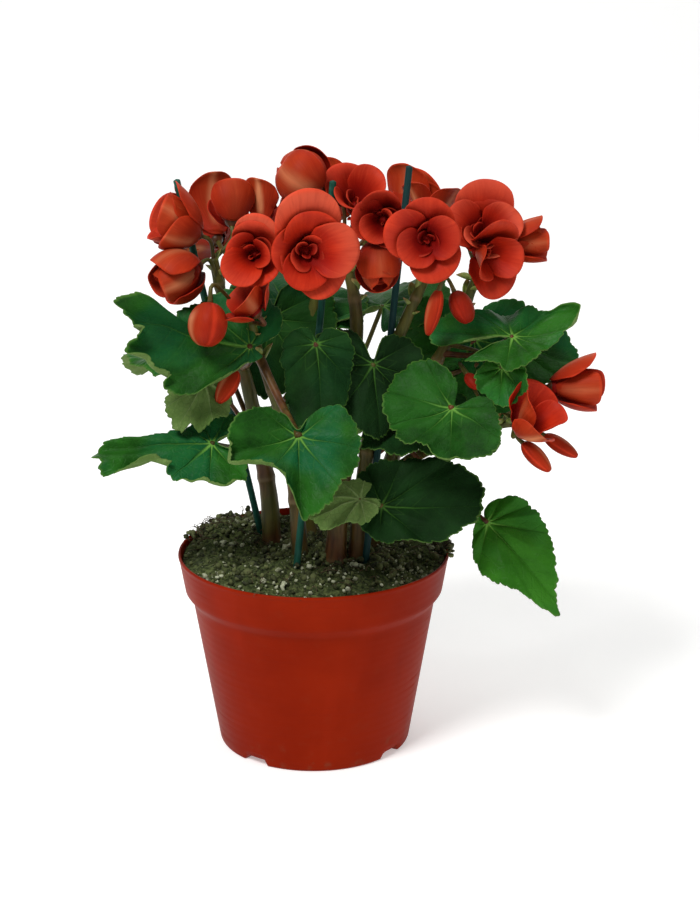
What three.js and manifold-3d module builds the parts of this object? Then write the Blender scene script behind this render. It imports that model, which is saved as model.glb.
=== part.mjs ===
// A potted begonia in flower: a plastic azalea pot full of peat and perlite, six stems and a side shoot,
// asymmetric leaves on petioles, double flowers and buds on pedicels, and three plant stakes.
// Millimetres, +Z up. The origin is the centre of the pot's flat base and the front of the plant faces -Y.
import * as THREE from "three";
import { mergeVertices } from "three/addons/utils/BufferGeometryUtils.js";
import Module from "manifold-3d";

const wasm = await Module();
wasm.setup();

// ---- Driving dimensions -------------------------------------------------------------------------

const POT = {
  height: 117, rimRadius: 80, bandBottomRadius: 76.3, shoulderRadius: 71.4, baseRadius: 57,
  bandHeight: 22, shoulderDrop: 5.6, wall: 1.6, floor: 2, segments: 32,
  notches: 4, notchTurn: -38, notchWidth: 15, notchDepth: 9, notchHeight: 3.4,
};
const SOIL = { gap: 0.4, edgeHeight: 113, moundHeight: 119.5, spokes: 18, rings: 3 };
const STAKE = { radius: 2, buriedTo: 45, sides: 10 };
const CLEARANCE = 0.35; // the gap that a piece keeps to each piece it was cut by
const LEAF = { thickness: 1.1, rings: 2, notchDepth: 3, petioleTaper: 0.7 };
const PETAL = { thickness: 1, across: 2, along: 3, widest: 1.5, heartSpokes: 6 };
const PEDICEL_RADIUS = 1.3;

// ---- Layout of the plant ------------------------------------------------------------------------
// Each stake runs through two points.
const stakes = {
  stake_left: [[-32, 26, 119], [-76, 2, 337]],
  stake_centre: [[-10, -32, 119], [12, 2, 336]],
  stake_right: [[30, -24, 119], [55, 4, 344]],
};

// Each stem is a route from the soil to its flower node, with its radius at the foot and at the top.
const stems = {
  stem_left: {
    foot: 6, top: 2.6,
    route: [[-24, 12, 96], [-27, 12, 150], [-38, 8, 215], [-50, 2, 262], [-56, 2, 292]],
  },
  stem_front: {
    foot: 5.2, top: 2.2,
    route: [[-8, -16, 96], [-10, -14, 150], [-18, -14, 200], [-30, -22, 240], [-34, -28, 262]],
  },
  stem_centre: {
    foot: 6.6, top: 3,
    route: [[11, -22, 96], [15, -18, 150], [22, -8, 215], [25, -4, 262], [18, -2, 298]],
  },
  stem_mid_right: {
    foot: 6, top: 2.8,
    route: [[25, -17, 96], [28, -14, 150], [37, -10, 215], [53, -8, 258], [66, -8, 288]],
  },
  stem_right: {
    foot: 5.6, top: 2.6,
    route: [[30, 8, 96], [40, 8, 150], [62, 8, 210], [86, 8, 258], [96, 6, 286]],
  },
  stem_back: {
    foot: 5.6, top: 2.6,
    route: [[-2, 28, 96], [-4, 32, 150], [-6, 38, 215], [2, 42, 262], [8, 44, 288]],
  },
  side_shoot: {
    foot: 3.4, top: 2.2,
    route: [[42, 8, 160], [66, -8, 180], [96, -24, 198], [118, -30, 204]],
  },
};

// at: where the petiole meets the blade. heading, pitch, roll: degrees, for the tip's direction about Z
// (0 is +X), above the horizon, and about the midrib. from, radius: where the petiole starts, and how
// thick it is there. margin: points of the outline as [degrees from the tip's direction, distance from
// the petiole, height of the ruffle]. A leaf without a margin has a length, a wider side and a wave.
const leaves = {
  leaf_front: {
    at: [-8, -76, 210], heading: -88, pitch: -50, roll: 0, from: [-30, -22, 240], radius: 2.6,
    margin: [[-150, 15, 0], [-125, 29, 3], [-98, 37, 4], [-68, 47, -2], [-38, 30, 7], [-14, 33, 6],
      [1, 48, -3], [18, 46, -2], [36, 38, 4], [55, 36, -2], [80, 34, 3], [105, 32, -1], [130, 28, 2],
      [152, 14, 0]],
  },
  leaf_front_right: {
    at: [76, -68, 223], heading: -140, pitch: -34, roll: -20, from: [42, -10, 228], radius: 1.9,
    margin: [[-150, 18, 0], [-120, 34, 3], [-90, 40, 0], [-60, 39, 3], [-32, 36, -1], [-12, 38, 2],
      [8, 30, 3], [22, 37, -2], [55, 39, 2], [76, 40, -2], [98, 31, 2], [125, 24, 0], [155, 17, 1]],
  },
  leaf_left: {
    at: [-57, -40, 195], heading: 184, pitch: -2, roll: -40, from: [-32, 10, 186], radius: 1.9,
    margin: [[-150, 24, 3], [-112, 22, 0], [-70, 20, -4], [-34, 21, -3], [-12, 40, -2], [-5, 61, 2],
      [0, 66, -3], [7, 64, 2], [14, 65, -4], [18, 48, 4], [34, 33, 4], [57, 30, -4], [80, 30, 1],
      [98, 33, -5], [122, 32, 1], [150, 20, 0]],
  },
  leaf_upper_left: {
    at: [-35, -35, 250], heading: 184, pitch: 4, roll: -48, from: [-41, 7, 226], radius: 1.9,
    margin: [[-150, 20, 2], [-122, 31, 2], [-92, 36, -2], [-62, 38, -4], [-38, 42, -6], [-24, 46, -5],
      [-14, 50, -3], [-11, 56, 22], [-9, 63, 38], [-5, 76, 36], [-1, 68, 22], [5, 69, 12], [13, 66, 6],
      [20, 62, 1], [27, 54, -4], [35, 51, 0], [43, 46, 2], [52, 38, 2], [58, 28, 2], [66, 18, 1],
      [82, 11, 0], [110, 9, 0], [145, 9, 0]],
  },
  leaf_hanging_right: {
    at: [99, -40, 147], heading: -40, pitch: -42, roll: 42, from: [35, -11, 205], radius: 1.5,
    margin: [[-165, 6, 0], [-110, 8, 0], [-74, 14, -2], [-55, 24, -2], [-34, 34, 0], [-14, 42, -1],
      [-4, 56, -3], [1, 66, -6], [9, 56, -3], [22, 47, 0], [40, 38, 1], [62, 31, 0], [92, 23, 1],
      [125, 14, 1], [155, 8, 0]],
  },
  leaf_low_right: {
    at: [38, -60, 164], heading: -6, pitch: -4, roll: 52, from: [17, -16, 160], radius: 1.8,
    margin: [[-150, 14, -2], [-108, 18, -2], [-70, 21, -3], [-45, 27, -1], [-22, 41, -4], [-5, 54, -1],
      [8, 58, 1], [30, 54, -2], [52, 40, 3], [78, 30, 0], [110, 25, 3], [150, 20, 1]],
  },
  leaf_turned: {
    at: [26, -64, 169], heading: 198, pitch: -20, roll: 150, from: [14, -18, 146], radius: 1.5,
    margin: [[-150, 11, 0], [-90, 14, 1], [-40, 18, -2], [-10, 27, 2], [15, 29, -1], [45, 23, 2],
      [90, 16, -1], [145, 12, 0]],
  },
  leaf_upper_right: {
    at: [113, -20, 251], heading: 14, pitch: 4, roll: 24, from: [74, 8, 234], radius: 1.8,
    margin: [[-158, 34, -2], [-132, 30, 2], [-105, 28, -3], [-75, 24, 2], [-45, 22, -1], [-22, 27, 2],
      [-8, 40, 6], [8, 44, 5], [28, 34, -2], [52, 26, 3], [84, 22, -2], [118, 26, 3], [146, 40, 0],
      [163, 50, 3], [176, 46, 0]],
  },
  leaf_right_drape: {
    at: [106, -34, 237], heading: -96, pitch: -78, roll: 6, from: [78, 8, 240], radius: 1.4,
    margin: [[-150, 5, 0], [-100, 11, 2], [-55, 17, 3], [-20, 20, 1], [4, 23, 2], [24, 21, 0],
      [55, 18, 2], [100, 12, 1], [150, 5, 0]],
  },
  leaf_right_back: {
    at: [118, 18, 238], heading: 0, pitch: -8, roll: 30, from: [66, 8, 218], radius: 1.6, length: 42,
    side: -1, wave: 4, phase: 2.2,
  },
  leaf_centre: {
    at: [2, -42, 253], heading: -98, pitch: -74, roll: 0, from: [-19, -15, 208], radius: 1.7,
    margin: [[-150, 10, 0], [-110, 17, -2], [-70, 22, -7], [-42, 27, -8], [-26, 38, -7], [-12, 48, -3],
      [0, 47, 3], [12, 46, 0], [24, 38, -6], [42, 28, -8], [75, 22, -6], [115, 17, -2], [150, 10, 0]],
  },
  leaf_centre_right: {
    at: [34, -30, 238], heading: -84, pitch: -66, roll: -8, from: [22, -8, 206], radius: 1.7,
    length: 44, side: -1, wave: 4, phase: 0.9,
  },
  leaf_left_under: {
    at: [-60, -28, 228], heading: 230, pitch: -50, roll: 168, from: [-29, 12, 172], radius: 1.6,
    margin: [[-150, 11, 0], [-90, 16, -1], [-58, 21, 2], [-34, 26, -3], [-14, 29, 2], [-6, 27, -2],
      [3, 33, 2], [24, 30, -2], [46, 27, 3], [70, 24, 0], [105, 20, -2], [150, 12, 0]],
  },
  leaf_middle: {
    at: [56, -19, 202], heading: -24, pitch: -6, roll: 17, from: [31, -13, 176], radius: 1.7,
    length: 52, side: 1, wave: 4, phase: 0.3,
  },
  leaf_inner: {
    at: [-26, 38, 248], heading: 262, pitch: -68, roll: 0, from: [-5, 36, 192], radius: 1.7, length: 48,
    side: 1, wave: 4, phase: 1.7,
  },
  leaf_back_left: {
    at: [-56, 42, 230], heading: 150, pitch: -10, roll: 6, from: [-31, 11, 176], radius: 1.8,
    length: 64, side: 1, wave: 6, phase: 2.4,
  },
  leaf_back: {
    at: [-16, 60, 254], heading: 102, pitch: 10, roll: 4, from: [-5, 36, 192], radius: 1.8, length: 60,
    side: -1, wave: 6, phase: 0.8,
  },
  leaf_back_right: {
    at: [42, 54, 252], heading: 62, pitch: 8, roll: -4, from: [-5, 35, 180], radius: 1.8, length: 62,
    side: 1, wave: 6, phase: 1.2,
  },
  leaf_back_low: {
    at: [10, 70, 178], heading: 86, pitch: -26, roll: 8, from: [-4, 33, 158], radius: 1.8, length: 56,
    side: 1, wave: 5, phase: 2,
  },
  leaf_back_low_right: {
    at: [95, 22, 239], heading: -80, pitch: -74, roll: 0, from: [56, 8, 196], radius: 1.6, length: 56,
    side: -1, wave: 5, phase: 0.1,
  },
};

// at: the receptacle. turn: degrees that the flower faces to the right of the front. lift: degrees above
// the horizon. base, tip: lean of the outer petals from the flower's axis at their base and at their tip.
// inner: how many whorls of small petals fill it. from: the node that it grows from. petals: [degrees
// round the axis from its right, length, half width, further lean at the tip].
const flowers = {
  flower_front: {
    at: [-5, -29, 303], turn: 12, lift: 6, base: 26, tip: 80, inner: 3, from: [18, -3, 290],
    petals: [[92, 39, 25, -6], [6, 36, 23, 4], [-54, 30, 22, 0], [-104, 27, 22, 0], [176, 26, 23, -6]],
  },
  flower_front_right: {
    at: [63, -28, 310], turn: 0, lift: 6, base: 20, tip: 76, inner: 3, from: [66, -8, 285],
    petals: [[85, 27, 23, -2], [6, 26, 23, 4], [-66, 28, 23, 0], [-142, 26, 22, 2], [164, 30, 20, 4]],
  },
  flower_front_left: {
    at: [-31, -24, 300], turn: -6, lift: 12, base: 16, tip: 40, inner: 3, from: [-34, -27, 261],
    petals: [[78, 28, 19, 12], [4, 24, 20, -6], [-60, 25, 19, 0], [-128, 32, 19, 24], [166, 24, 20, 0]],
  },
  flower_left: {
    at: [-63, -2, 306], turn: -82, lift: 28, base: 60, tip: -8, inner: 0, from: [-56, 2, 290],
    petals: [[-24, 26, 21, 4], [30, 31, 23, 0], [92, 32, 22, 8], [-92, 28, 20, 6], [176, 32, 22, 0]],
  },
  flower_left_low: {
    at: [-63, -8, 291], turn: -60, lift: -22, base: 68, tip: -40, inner: 0, from: [-54, 1, 280],
    petals: [[80, 32, 21, 8], [4, 32, 21, 0], [-84, 31, 21, -4], [172, 32, 21, 4]],
  },
  flower_left_top: {
    at: [-46, 14, 309], turn: 186, lift: 56, base: 56, tip: -22, inner: 0, from: [-56, 2, 291],
    petals: [[100, 27, 21, 0], [14, 25, 18, 0], [-84, 26, 18, 4], [182, 25, 18, 0]],
  },
  flower_top_pale: {
    at: [-28, 24, 306], turn: 168, lift: 60, base: 24, tip: 22, inner: 0, from: [17, -1, 293],
    petals: [[82, 29, 14, 0], [-36, 27, 15, 0], [204, 28, 15, 0]],
  },
  flower_top_ball: {
    at: [7, 6, 331], turn: -105, lift: 30, base: 84, tip: -74, inner: 0, from: [18, -2, 297],
    petals: [[-4, 37, 30, 0], [84, 37, 25, 0], [172, 37, 25, 0], [-98, 37, 25, 0]],
  },
  flower_top: {
    at: [24, 8, 317], turn: 4, lift: 50, base: 34, tip: 48, inner: 0, from: [18, -1, 297],
    petals: [[112, 27, 20, -2], [38, 28, 20, 2], [-50, 23, 19, -12], [-132, 24, 20, -12]],
  },
  flower_cup: {
    at: [41, -14, 317], turn: -8, lift: 8, base: 16, tip: 42, inner: 3, from: [19, -3, 294],
    petals: [[98, 25, 18, -6], [16, 21, 15, -24], [-62, 22, 15, -12], [-136, 23, 17, 8],
      [172, 25, 20, 16]],
  },
  flower_under: {
    at: [35, -16, 304], turn: 8, lift: -50, base: 62, tip: -50, inner: 0, from: [22, -3, 282],
    petals: [[92, 31, 20, 0], [10, 30, 19, 0], [-84, 30, 20, 0], [176, 30, 20, 0]],
  },
  flower_right_top: {
    at: [96, 8, 301], turn: 6, lift: 34, base: 26, tip: 72, inner: 3, from: [96, 6, 285],
    petals: [[88, 34, 25, -6], [16, 30, 21, 4], [-62, 21, 18, -24], [-126, 21, 18, -20],
      [162, 28, 21, 0]],
  },
  flower_right_front: {
    at: [92, -5, 299], turn: 30, lift: -8, base: 32, tip: 34, inner: 0, from: [95, 5, 281],
    petals: [[74, 28, 21, 6], [2, 29, 21, 8], [-76, 30, 22, 0], [-156, 27, 21, -8]],
  },
  flower_right: {
    at: [106, 5, 299], turn: 84, lift: 6, base: 36, tip: -16, inner: 0, from: [96, 6, 284],
    petals: [[96, 28, 15, 14], [12, 28, 15, 0], [-84, 29, 17, 4], [178, 28, 16, 0]],
  },
  flower_behind_right: {
    at: [66, 14, 306], turn: 178, lift: 58, base: 28, tip: 36, inner: 0, from: [66, -7, 286],
    petals: [[-90, 26, 16, 0], [30, 27, 18, 0], [150, 27, 18, 0]],
  },
  flower_back: {
    at: [6, 56, 306], turn: 178, lift: 24, base: 24, tip: 78, inner: 3, from: [8, 44, 287],
    petals: [[84, 34, 23, 0], [10, 30, 22, 0], [-62, 29, 21, 0], [-134, 30, 22, 0], [160, 30, 21, 0]],
  },
  flower_back_left: {
    at: [-55, 40, 294], turn: 206, lift: 16, base: 22, tip: 76, inner: 3, from: [7, 44, 284],
    petals: [[96, 42, 20, 0], [24, 36, 20, 0], [-50, 34, 21, 0], [-122, 36, 21, 0], [168, 36, 20, 0]],
  },
  flower_back_right: {
    at: [52, 44, 306], turn: 146, lift: 26, base: 20, tip: 70, inner: 3, from: [8, 44, 286],
    petals: [[86, 31, 22, 0], [14, 29, 21, 0], [-58, 29, 20, 0], [-130, 29, 21, 0], [162, 30, 21, 0]],
  },
  flower_side: {
    at: [115, -42, 201], turn: 60, lift: 46, base: 48, tip: 20, inner: 0, from: [114, -30, 200],
    petals: [[45, 31, 25, -14], [-45, 28, 20, -14], [-135, 24, 22, -12], [135, 27, 17, -8]],
  },
  flower_side_back: {
    at: [134, -22, 222], turn: 80, lift: 4, base: 44, tip: -14, inner: 0, from: [118, -29, 205],
    petals: [[88, 31, 17, 20], [0, 31, 18, 0], [-84, 30, 19, 4], [178, 31, 18, 6]],
  },
  flower_opening: {
    at: [-30, -45, 270], turn: -74, lift: 52, base: 62, tip: 22, inner: 0, from: [-33, -28, 262],
    petals: [[-84, 18, 18, -6], [4, 19, 18, -6], [92, 18, 18, -6], [176, 19, 18, -6]],
  },
};

// A bud is an egg of its length and width, on a pedicel from a node. Its turn and lift say where it points.
const buds = {
  bud_left: { at: [-56, -48, 278], turn: -24, lift: -72, length: 25, width: 23, from: [-35, -28, 262] },
  bud_hanging_left: {
    at: [70, -36, 282], turn: -60, lift: -74, length: 27, width: 10, from: [66, -9, 286],
  },
  bud_hanging_right: {
    at: [79, -28, 279], turn: 70, lift: -62, length: 20, width: 14, from: [67, -8, 287],
  },
  bud_side_low: {
    at: [118, -42, 195], turn: 62, lift: -40, length: 23, width: 11, from: [117, -30, 203],
  },
  bud_side_tip: {
    at: [131, -34, 197], turn: 74, lift: -30, length: 23, width: 10, from: [119, -30, 204],
  },
  bud_low_left: {
    at: [-43, -28, 234], turn: -50, lift: -50, length: 22, width: 12, from: [-33, -25, 252],
  },
  bud_low_right: {
    at: [88, -16, 228], turn: 30, lift: -30, length: 13, width: 8, from: [104, -26, 200],
  },
};

// ---- Geometry helpers ---------------------------------------------------------------------------

const vector = (point) => new THREE.Vector3(...point);
const radians = THREE.MathUtils.degToRad;

// A closed BufferGeometry from points and triangles.
function meshOf(points, triangles) {
  const geometry = new THREE.BufferGeometry().setFromPoints(points);
  geometry.setIndex(triangles);
  return geometry;
}

// The manifold-3d solid of a closed geometry, turned right side out.
function solidOf(geometry) {
  const plain = geometry.clone();
  plain.deleteAttribute("normal");
  plain.deleteAttribute("uv");
  const merged = mergeVertices(plain, 1e-4);
  const triVerts = new Uint32Array(merged.index.array);
  const vertProperties = merged.attributes.position.array;
  const made = new wasm.Manifold(new wasm.Mesh({ numProp: 3, vertProperties, triVerts }));
  if (made.volume() > 0) return made;
  for (let i = 0; i < triVerts.length; i += 3) {
    [triVerts[i + 1], triVerts[i + 2]] = [triVerts[i + 2], triVerts[i + 1]];
  }
  return new wasm.Manifold(new wasm.Mesh({ numProp: 3, vertProperties, triVerts }));
}

// The BufferGeometry of a manifold-3d solid.
function geometryOf(solid) {
  const { numProp, numVert, vertProperties, triVerts } = solid.getMesh();
  const positions = new Float32Array(numVert * 3);
  for (let i = 0; i < numVert; i++) {
    positions.set(vertProperties.subarray(i * numProp, i * numProp + 3), i * 3);
  }
  const geometry = new THREE.BufferGeometry();
  geometry.setAttribute("position", new THREE.BufferAttribute(positions, 3));
  geometry.setIndex(new THREE.BufferAttribute(new Uint32Array(triVerts), 1));
  geometry.computeVertexNormals();
  return geometry;
}

// A tube with flat ends along a smooth curve through the points, its radius running from start to end.
function tube(points, start, end, sides, steps) {
  const curve = new THREE.CatmullRomCurve3(points.map(vector));
  const frames = curve.computeFrenetFrames(steps);
  const ring = [];
  for (let i = 0; i <= steps; i++) {
    const centre = curve.getPointAt(i / steps);
    const radius = start + ((end - start) * i) / steps;
    for (let k = 0; k < sides; k++) {
      const angle = (2 * Math.PI * k) / sides;
      ring.push(centre.clone()
        .addScaledVector(frames.normals[i], radius * Math.cos(angle))
        .addScaledVector(frames.binormals[i], radius * Math.sin(angle)));
    }
  }
  const triangles = [];
  for (let i = 0; i < steps; i++) {
    for (let k = 0; k < sides; k++) {
      const [a, b] = [i * sides + k, i * sides + ((k + 1) % sides)];
      triangles.push(a, b, b + sides, a, b + sides, a + sides);
    }
  }
  const last = steps * sides;
  for (let k = 1; k < sides - 1; k++) {
    triangles.push(0, k + 1, k, last, last + k, last + k + 1);
  }
  return solidOf(meshOf(ring, triangles));
}

// A closed shell of a given thickness about a surface that is a grid of points closed in neither direction.
function sheet(pointAt, columns, rows, thickness) {
  const middle = [];
  for (let j = 0; j <= rows; j++) {
    for (let i = 0; i <= columns; i++) {
      middle.push(pointAt(i / columns, j / rows));
    }
  }
  const wide = columns + 1;
  const normal = (index) => {
    const [i, j] = [index % wide, Math.floor(index / wide)];
    const [left, right] = [Math.max(i - 1, 0), Math.min(i + 1, columns)].map((c) => middle[j * wide + c]);
    const [below, above] = [Math.max(j - 1, 0), Math.min(j + 1, rows)].map((r) => middle[r * wide + i]);
    const [along, up] = [right.clone().sub(left), above.clone().sub(below)];
    return along.cross(up).normalize();
  };
  const count = middle.length;
  const half = thickness / 2;
  const offset = (side) => middle.map((p, k) => p.clone().addScaledVector(normal(k), side * half));
  const points = [...offset(1), ...offset(-1)];
  const triangles = [];
  for (let j = 0; j < rows; j++) {
    for (let i = 0; i < columns; i++) {
      const a = j * wide + i;
      const [b, c, d] = [a + 1, a + wide, a + wide + 1];
      triangles.push(a, b, d, a, d, c, count + a, count + d, count + b, count + a, count + c, count + d);
    }
  }
  const edge = [];
  for (let i = 0; i < columns; i++) edge.push(i);
  for (let j = 0; j < rows; j++) edge.push(j * wide + columns);
  for (let i = columns; i > 0; i--) edge.push(rows * wide + i);
  for (let j = rows; j > 0; j--) edge.push(j * wide);
  edge.forEach((a, k) => {
    const b = edge[(k + 1) % edge.length];
    triangles.push(a, count + a, count + b, a, count + b, b);
  });
  return solidOf(meshOf(points, triangles));
}

// A closed shell about a surface of rings round a middle point. pointAt takes a spoke and a share of the
// way out.
function roundSheet(pointAt, spokes, rings, thickness) {
  const middle = [pointAt(0, 0)];
  for (let j = 1; j <= rings; j++) {
    for (let k = 0; k < spokes; k++) middle.push(pointAt(k, j / rings));
  }
  const index = (j, k) => (j === 0 ? 0 : 1 + (j - 1) * spokes + ((k + spokes) % spokes));
  const faces = [];
  for (let k = 0; k < spokes; k++) {
    faces.push([0, index(1, k), index(1, k + 1)]);
    for (let j = 1; j < rings; j++) {
      const [a, b, c, d] = [index(j, k), index(j, k + 1), index(j + 1, k), index(j + 1, k + 1)];
      faces.push([a, c, d], [a, d, b]);
    }
  }
  const normals = middle.map(() => new THREE.Vector3());
  for (const [a, b, c] of faces) {
    const across = middle[b].clone().sub(middle[a]).cross(middle[c].clone().sub(middle[a]));
    for (const corner of [a, b, c]) normals[corner].add(across);
  }
  normals.forEach((n) => n.normalize());
  const half = thickness / 2;
  const offset = (side) => middle.map((p, k) => p.clone().addScaledVector(normals[k], side * half));
  const points = [...offset(1), ...offset(-1)];
  const count = middle.length;
  const triangles = faces.flatMap(([a, b, c]) => [a, b, c, count + a, count + c, count + b]);
  for (let k = 0; k < spokes; k++) {
    const [a, b] = [index(rings, k), index(rings, k + 1)];
    triangles.push(a, count + a, count + b, a, count + b, b);
  }
  return solidOf(meshOf(points, triangles));
}

// ---- Pot, soil and stakes -----------------------------------------------------------------------

// A profile turned about the Z axis.
function turned(profile, segments) {
  const points = profile.map(([radius, height]) => new THREE.Vector2(radius, height));
  return solidOf(new THREE.LatheGeometry(points, segments).rotateX(Math.PI / 2));
}

const potBandBottom = POT.height - POT.bandHeight;
const potShoulder = potBandBottom - POT.shoulderDrop;

// Radius of the pot's inner wall at a height above the floor.
function innerRadius(height) {
  const knots = [
    [0, POT.baseRadius], [potShoulder, POT.shoulderRadius],
    [potBandBottom, POT.bandBottomRadius], [POT.height, POT.rimRadius],
  ];
  const next = knots.findIndex(([z]) => z >= height);
  const [[z0, r0], [z1, r1]] = [knots[Math.max(next - 1, 0)], knots[Math.max(next, 1)]];
  return r0 + ((r1 - r0) * (height - z0)) / (z1 - z0) - POT.wall;
}

function makePot() {
  const inner = (z) => [innerRadius(z), z];
  const edge = 1; // the rounding of the base's outer edge
  const shell = turned([
    [0, 0], [POT.baseRadius - edge, 0], [POT.baseRadius, edge],
    [POT.shoulderRadius, potShoulder], [POT.bandBottomRadius, potBandBottom],
    [POT.rimRadius - 0.4, POT.height - 1], [POT.rimRadius - 0.6, POT.height],
    [innerRadius(POT.height), POT.height],
    inner(potBandBottom), inner(potShoulder), inner(POT.floor), [0, POT.floor],
  ], POT.segments);
  let pot = shell;
  for (let k = 0; k < POT.notches; k++) {
    const notch = new THREE.BoxGeometry(POT.notchDepth, POT.notchWidth, 2 * POT.notchHeight)
      .translate(POT.baseRadius + 1 - POT.notchDepth / 2, 0, 0)
      .rotateZ(radians(POT.notchTurn - 90 + (360 * k) / POT.notches));
    pot = pot.subtract(solidOf(notch));
  }
  return pot;
}

// The soil's surface: a low mound that is highest near the middle, with a few soft humps.
function soilHeight(x, y) {
  const away = Math.min(1, Math.hypot(x, y) / innerRadius(POT.height));
  const humps = 1.4 * Math.sin(x / 13 + 1) * Math.cos(y / 15) + 1.1 * Math.sin((x - y) / 9);
  return SOIL.moundHeight - (SOIL.moundHeight - SOIL.edgeHeight) * away ** 3 + humps * (1 - away ** 4);
}

function makeSoil() {
  const points = [];
  const ringAt = (z, share) => {
    for (let k = 0; k < SOIL.spokes; k++) {
      const angle = (2 * Math.PI * k) / SOIL.spokes;
      const radius = (innerRadius(Math.min(z, SOIL.edgeHeight)) - SOIL.gap) * share;
      const [x, y] = [radius * Math.cos(angle), radius * Math.sin(angle)];
      points.push(new THREE.Vector3(x, y, share < 1 || z >= SOIL.edgeHeight ? soilHeight(x, y) : z));
    }
  };
  const bottom = POT.floor + SOIL.gap;
  points.push(new THREE.Vector3(0, 0, bottom));
  for (const z of [bottom, potShoulder, potBandBottom, SOIL.edgeHeight]) ringAt(z, 1);
  for (let j = SOIL.rings - 1; j > 0; j--) ringAt(SOIL.edgeHeight, j / SOIL.rings);
  points.push(new THREE.Vector3(0, 0, soilHeight(0, 0)));
  const rings = (points.length - 2) / SOIL.spokes;
  const index = (j, k) => 1 + j * SOIL.spokes + (k % SOIL.spokes);
  const triangles = [];
  for (let k = 0; k < SOIL.spokes; k++) {
    triangles.push(0, index(0, k + 1), index(0, k));
    for (let j = 0; j < rings - 1; j++) {
      triangles.push(index(j, k), index(j, k + 1), index(j + 1, k + 1));
      triangles.push(index(j, k), index(j + 1, k + 1), index(j + 1, k));
    }
    triangles.push(points.length - 1, index(rings - 1, k), index(rings - 1, k + 1));
  }
  return solidOf(meshOf(points, triangles));
}

// A straight round stick from below the soil to its upper point.
function makeStake([low, high], grow) {
  const direction = vector(high).sub(vector(low));
  const reach = (STAKE.buriedTo - low[2]) / direction.z;
  const foot = vector(low).addScaledVector(direction, reach);
  const length = vector(high).distanceTo(foot);
  const radius = STAKE.radius + grow;
  const stick = new THREE.CylinderGeometry(radius, radius, length + 2 * grow, STAKE.sides)
    .rotateX(Math.PI / 2)
    .translate(0, 0, length / 2);
  const aim = new THREE.Quaternion().setFromUnitVectors(new THREE.Vector3(0, 0, 1), direction.normalize());
  return solidOf(stick.applyQuaternion(aim).translate(foot.x, foot.y, foot.z));
}

function makeStem({ route, foot, top }, grow) {
  return tube(route, foot + grow, top + grow, 7, 9);
}

// ---- Leaves -------------------------------------------------------------------------------------

// The outline of a leaf that has no outline of its own: a rounded heart with one side wider than the other.
const ROUND_LEAF = [
  [-155, 0.42], [-125, 0.7], [-95, 0.74], [-65, 0.73], [-38, 0.78], [-15, 0.9], [0, 1],
  [15, 0.9], [38, 0.8], [65, 0.78], [95, 0.76], [125, 0.7], [155, 0.42],
];

function marginOf(leaf) {
  return leaf.margin ?? ROUND_LEAF.map(([degrees, share]) => {
    const angle = radians(degrees);
    const distance = leaf.length * share * (1 + 0.12 * leaf.side * Math.sin(angle));
    return [degrees, distance, leaf.wave * Math.sin(4 * angle + 2 * leaf.phase) - 0.1 * distance];
  });
}

// The rotation of a leaf from its own axes to the plant's. Its own X is the tip's direction and its own Z
// is its upper side.
function leafTurn({ heading, pitch, roll }) {
  return new THREE.Quaternion()
    .setFromAxisAngle(new THREE.Vector3(0, 0, 1), radians(heading))
    .multiply(new THREE.Quaternion().setFromAxisAngle(new THREE.Vector3(0, 1, 0), -radians(pitch)))
    .multiply(new THREE.Quaternion().setFromAxisAngle(new THREE.Vector3(1, 0, 0), radians(roll)));
}

// The blade is a sheet with a spoke at each point of the margin and one at the notch behind the petiole.
function makeLeaf(leaf, grow) {
  const turn = leafTurn(leaf);
  const at = vector(leaf.at);
  const outline = [...marginOf(leaf), [180, LEAF.notchDepth, 0]];
  const bladePoint = (spoke, out) => {
    const [degrees, distance, height] = outline[spoke];
    const radius = (distance + grow) * out;
    const angle = radians(degrees);
    return new THREE.Vector3(radius * Math.cos(angle), radius * Math.sin(angle), height * out ** 2)
      .applyQuaternion(turn)
      .add(at);
  };
  const blade = roundSheet(bladePoint, outline.length, LEAF.rings, LEAF.thickness + 2 * grow);
  const under = new THREE.Vector3(-0.35, 0, -1).applyQuaternion(turn);
  const petiole = tube([leaf.from, petioleBow(leaf, under).toArray(), leaf.at],
    leaf.radius + grow, leaf.radius * LEAF.petioleTaper + grow, 5, 4);
  return blade.add(petiole);
}

// The middle of a petiole: part way along it, and bowed so that it reaches the blade from beneath.
function petioleBow(leaf, under) {
  const span = vector(leaf.at).distanceTo(vector(leaf.from));
  return vector(leaf.from).lerp(vector(leaf.at), 0.6).addScaledVector(under, span * 0.14);
}

// ---- Flowers and buds ---------------------------------------------------------------------------

// The direction that a flower or bud faces.
function facing({ turn, lift }) {
  const [t, l] = [radians(turn), radians(lift)];
  return new THREE.Vector3(Math.sin(t) * Math.cos(l), -Math.cos(t) * Math.cos(l), Math.sin(l));
}

// The rotation that takes +Z to the way a flower faces, +X level to its right and +Y upwards.
function flowerTurn(flower) {
  const ahead = facing(flower);
  const right = new THREE.Vector3(Math.cos(radians(flower.turn)), Math.sin(radians(flower.turn)), 0);
  const basis = new THREE.Matrix4().makeBasis(right, ahead.clone().cross(right), ahead);
  return new THREE.Quaternion().setFromRotationMatrix(basis);
}

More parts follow.
